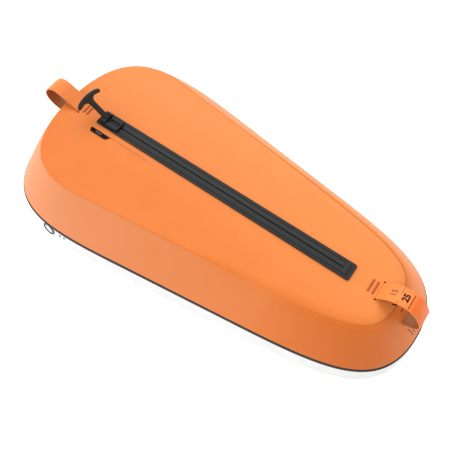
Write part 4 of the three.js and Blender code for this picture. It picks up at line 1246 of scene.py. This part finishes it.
# Bar tacks. Two dense satin-stitched bars beside each slit that hold the loop's buried
# end against the underside of the top, in a thread darker than the fabric.
TACK_LENGTH = 0.012
TACK_WIDTH = 0.0016
TACK_PITCH = 0.0041
TACK_THREADS = 17
THREAD_PITCH = TACK_LENGTH / TACK_THREADS
thread_finish, tree, shader, place = new_finish("tack_thread_finish", 0.3)
twist = add_node(tree, "TexWave", {"bands_direction": "DIAGONAL"}, Vector=place, Scale=900.0).outputs["Fac"]
colour = mixed(tree, twist, (0.42, 0.085, 0.010), (0.56, 0.14, 0.020))
finished(tree, shader, colour, ranged(tree, twist, 0, 1, 0.5, 0.7), twist, 0.00005)
for end, slit, step, number in (
    ("wide", WIDE_SLIT, TACK_PITCH, 1), ("wide", WIDE_SLIT, TACK_PITCH, 2),
    ("narrow", NARROW_SLIT, -TACK_PITCH, 1), ("narrow", NARROW_SLIT, -TACK_PITCH, 2),
):
    bpy.ops.mesh.primitive_uv_sphere_add(segments=12, ring_count=8, radius=1, location=(0, 0, 0))
    thread = bpy.context.object
    thread.name = f"{end}_end_satin_{number}"
    thread.scale = (TACK_WIDTH / 2 * 1.15, THREAD_PITCH * 0.62, 0.00034)
    thread.location = (slit + step * number, (THREAD_PITCH - TACK_LENGTH) / 2, TOP_HEIGHT + 0.00028)
    bpy.ops.object.transform_apply(location=True, rotation=True, scale=True)
    in_a_row(thread, TACK_THREADS, (0, THREAD_PITCH, 0))
    fit(thread, "case", "tack_thread", thread_finish, f"{end}_end_tack_{number}", smooth=60)


# Seam tape. A thin grey strip of polyurethane film, welded inside the cover along the seam
# to keep water out.
dress("seam_tape", grey_plastic, 0.0001)


# Label. A glossy black moulded badge with one slanting end, bonded beside the zip, with
# four plain pale dashes in place of lettering.
badge, tree, shader, place, cloud, colour = mottled(
    "badge_gloss", 700.0, 3.0, (0.002, 0.002, 0.002), (0.005, 0.004, 0.004), 0, 1, specular=0.06)
colour = printed(tree, place, colour, (0.30, 0.27, 0.25), (0.00042, 0.00050),
                 (-0.1322, -0.0157), (-0.1304, -0.0157), (-0.1286, -0.0157), (-0.1268, -0.0157))
finished(tree, shader, colour, ranged(tree, cloud, 0.3, 0.7, 0.22, 0.36))
dress("label_plate", badge, 0.00012)


# Zip surround. A flat rubber frame welded on to the top, with a fine raised border, that
# carries the two halves of a watertight zip.
ZIP_LOW, ZIP_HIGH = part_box("zip_frame")
ZIP_THICKNESS = ZIP_HIGH.z - ZIP_LOW.z
OPENING_LOW = Vector((-0.13576, -0.00495))
OPENING_HIGH = Vector((0.12376, 0.00495))
border = rounded_outline(ZIP_LOW, ZIP_HIGH, 0.0020, 8, 1)
opening = rounded_outline(OPENING_LOW, OPENING_HIGH, 0.0006, 8, 1)
surround = wrap("zip_surround", [
    level(grown(ring, out), ZIP_HIGH.z - down) for ring, out, down in (
        (border, 0.0, ZIP_THICKNESS), (border, 0.0, 0.0007), (border, -0.00012, 0.0003),
        (border, -0.0004, 0.00004), (border, -0.0007, 0.0), (border, -0.0010, 0.00004),
        (border, -0.0012, 0.0002), (border, -0.0015, 0.00022), (opening, 0.0009, 0.00022),
        (opening, 0.0006, 0.00006), (opening, 0.0003, 0.00002), (opening, 0.0001, 0.0002),
        (opening, 0.0, 0.0005), (opening, 0.0, ZIP_THICKNESS))
], closed=True)
zip_rubber = moulded(
    "zip_rubber", (0.017, 0.0175, 0.018), (0.030, 0.031, 0.032), 0.55, 0.0005, 0.00003, specular=0.25)
fit(surround, "case", "zip_rubber", zip_rubber, "zip_frame")


# Zip tapes and teeth. Two polyurethane-coated tapes whose lips meet in a fine line, and
# under each lip a row of moulded teeth that the slider locks together.
TAPE_LIP = 0.00036
TAPE_EDGE = 0.0049
TAPE_STEPS = 82
TOOTH_PITCH = 0.0015
TOOTH_LENGTH = 0.00105
tape_section = [
    (TAPE_LIP, 0.0), (TAPE_LIP - 0.00002, 0.0005), (TAPE_LIP + 0.0001, 0.00082), (TAPE_LIP + 0.0004, 0.00098),
    (0.0016, 0.0010), (0.0027, 0.00082), (0.0031, 0.00080), (0.0036, 0.00086), (0.0045, 0.00084),
    (TAPE_EDGE - 0.0001, 0.0007), (TAPE_EDGE, 0.0004), (TAPE_EDGE, 0.0),
]
tape_rubber = moulded(
    "tape_rubber", (0.016, 0.0165, 0.017), (0.027, 0.028, 0.029), 0.50, 0.0004, 0.00003, specular=0.25)
for side, name in ((1, "left"), (-1, "right")):
    tape_low, tape_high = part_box(f"zip_tape_{name}")
    rings = []
    for k in range(TAPE_STEPS + 1):
        x = tape_low.x + (tape_high.x - tape_low.x) * k / TAPE_STEPS
        sway = 0.00004 * math.sin(k * 1.7) + drift(Vector((x, side, 0)), 0.03, 0.00006)
        rings.append([Vector((x, side * y, tape_low.z + z * (1 + sway * 400))) for y, z in tape_section])
    fit(wrap(f"coated_tape_{name}", rings), "case", "zip_rubber", tape_rubber, f"zip_tape_{name}")
    teeth_low, teeth_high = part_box(f"zip_teeth_{name}")
    middle, size = (teeth_low + teeth_high) / 2, teeth_high - teeth_low
    tooth = block((teeth_low.x + 0.0006, middle.y, middle.z), (TOOTH_LENGTH, size.y, size.z))
    tooth.name = f"moulded_teeth_{name}"
    soften(tooth, 0.0003, 1)
    in_a_row(tooth, int(size.x / TOOTH_PITCH), (TOOTH_PITCH, 0, 0))
    fit(tooth, "case", "zip_rubber", black_plastic, f"zip_teeth_{name}")
dress("zip_dock", zip_rubber, 0.0003, 3)
dress("zip_stop", zip_rubber, 0.0004, 3)


# Slider and pull. A moulded slider body rides on the tapes, and a T-shaped rubber grip
# hinges on its steel pin.
PIN_PLACE = Vector((-0.132, 0, 0.0713))
ALONG_PIN = Matrix.Rotation(math.radians(90), 4, "X")
GRIP_TILT = math.radians(37)
GRIP_HALF = 0.0018
STEM_END = -1.6
STEM_HALF = 2.6
BAR_START = 17.9
slider_plastic, tree, shader, place, cloud, colour = mottled(
    "slider_plastic", 1600.0, 3.0, (0.014, 0.0145, 0.015), (0.024, 0.025, 0.026), 0, 1, specular=0.2)
# Painted shade: the slider's well is painted nearly black.
well_shade = calc(tree, "MULTIPLY", within(tree, place, (-0.1224, 0), (0.0052, 0.0021)), 0.85)
colour = mixed(tree, well_shade, colour, (0.002, 0.002, 0.002))
finished(tree, shader, colour, ranged(tree, cloud, 0.3, 0.7, 0.45, 0.60), cloud, 0.00003, 0.5)
dress("zip_slider", slider_plastic, 0.00035, 3)
pin = turned("hinge_pin", [
    (0.0006, -0.0052), (0.00082, -0.0051), (0.0009, -0.0049), (0.0009, 0.0049), (0.00082, 0.0051),
    (0.0006, 0.0052),
], Matrix.Translation(PIN_PLACE) @ ALONG_PIN, 32)
dark_steel = moulded(
    "dark_steel", (0.10, 0.10, 0.10), (0.20, 0.20, 0.20), 0.40, 0.0004, 0.00001, metallic=1.0)
fit(pin, "slider", "steel", dark_steel, "handle_pin")

grip_edge = [
    ((BAR_START, STEM_HALF), None), ((21.8, 6.4), (21.2, 3.0)), ((20.5, 11.6), (21.4, 10.0)),
    ((22.6, 14.0), (20.2, 14.0)), ((25.7, 9.0), (24.5, 13.4)), ((25.7, -9.0), (27.8, 0.0)),
    ((22.6, -14.0), (24.5, -13.4)), ((20.5, -11.6), (20.2, -14.0)), ((21.8, -6.4), (21.4, -10.0)),
    ((BAR_START, -STEM_HALF), (21.2, -3.0)), ((STEM_END, -STEM_HALF), None), ((STEM_END, STEM_HALF), None),
]
grip_ring = []
here = Vector((STEM_END, STEM_HALF))
for end, bend in grip_edge:
    there = Vector(end)
    middle = Vector(bend) if bend else (here + there) / 2
    grip_ring += interpolate_bezier(here, here.lerp(middle, 2 / 3), there.lerp(middle, 2 / 3), there, 14)[:-1]
    here = there
grip_ring = [p / 1000 for p in reversed(grip_ring)]
grip = moulding("t_grip", grip_ring, [
    (-0.0011, -GRIP_HALF), (-0.0006, -GRIP_HALF + 0.00015), (-0.0002, -GRIP_HALF + 0.0005),
    (0.0, -GRIP_HALF + 0.0011), (0.0, GRIP_HALF - 0.0011), (-0.0002, GRIP_HALF - 0.0005),
    (-0.0006, GRIP_HALF - 0.00015), (-0.0011, GRIP_HALF),
])
cut_away(grip, peg(0.0012, -0.009, 0.009, ALONG_PIN, 32))
turned_back = Matrix.Rotation(GRIP_TILT, 4, "Y") @ Matrix.Rotation(math.pi, 4, "Z")
move_to(grip, Matrix.Translation(PIN_PLACE) @ turned_back)
grip_rubber = moulded(
    "grip_rubber", (0.022, 0.018, 0.014), (0.036, 0.031, 0.026), 0.55, 0.0005, 0.00004, specular=0.25)
fit(grip, "pull", "zip_rubber", grip_rubber, "zip_handle")
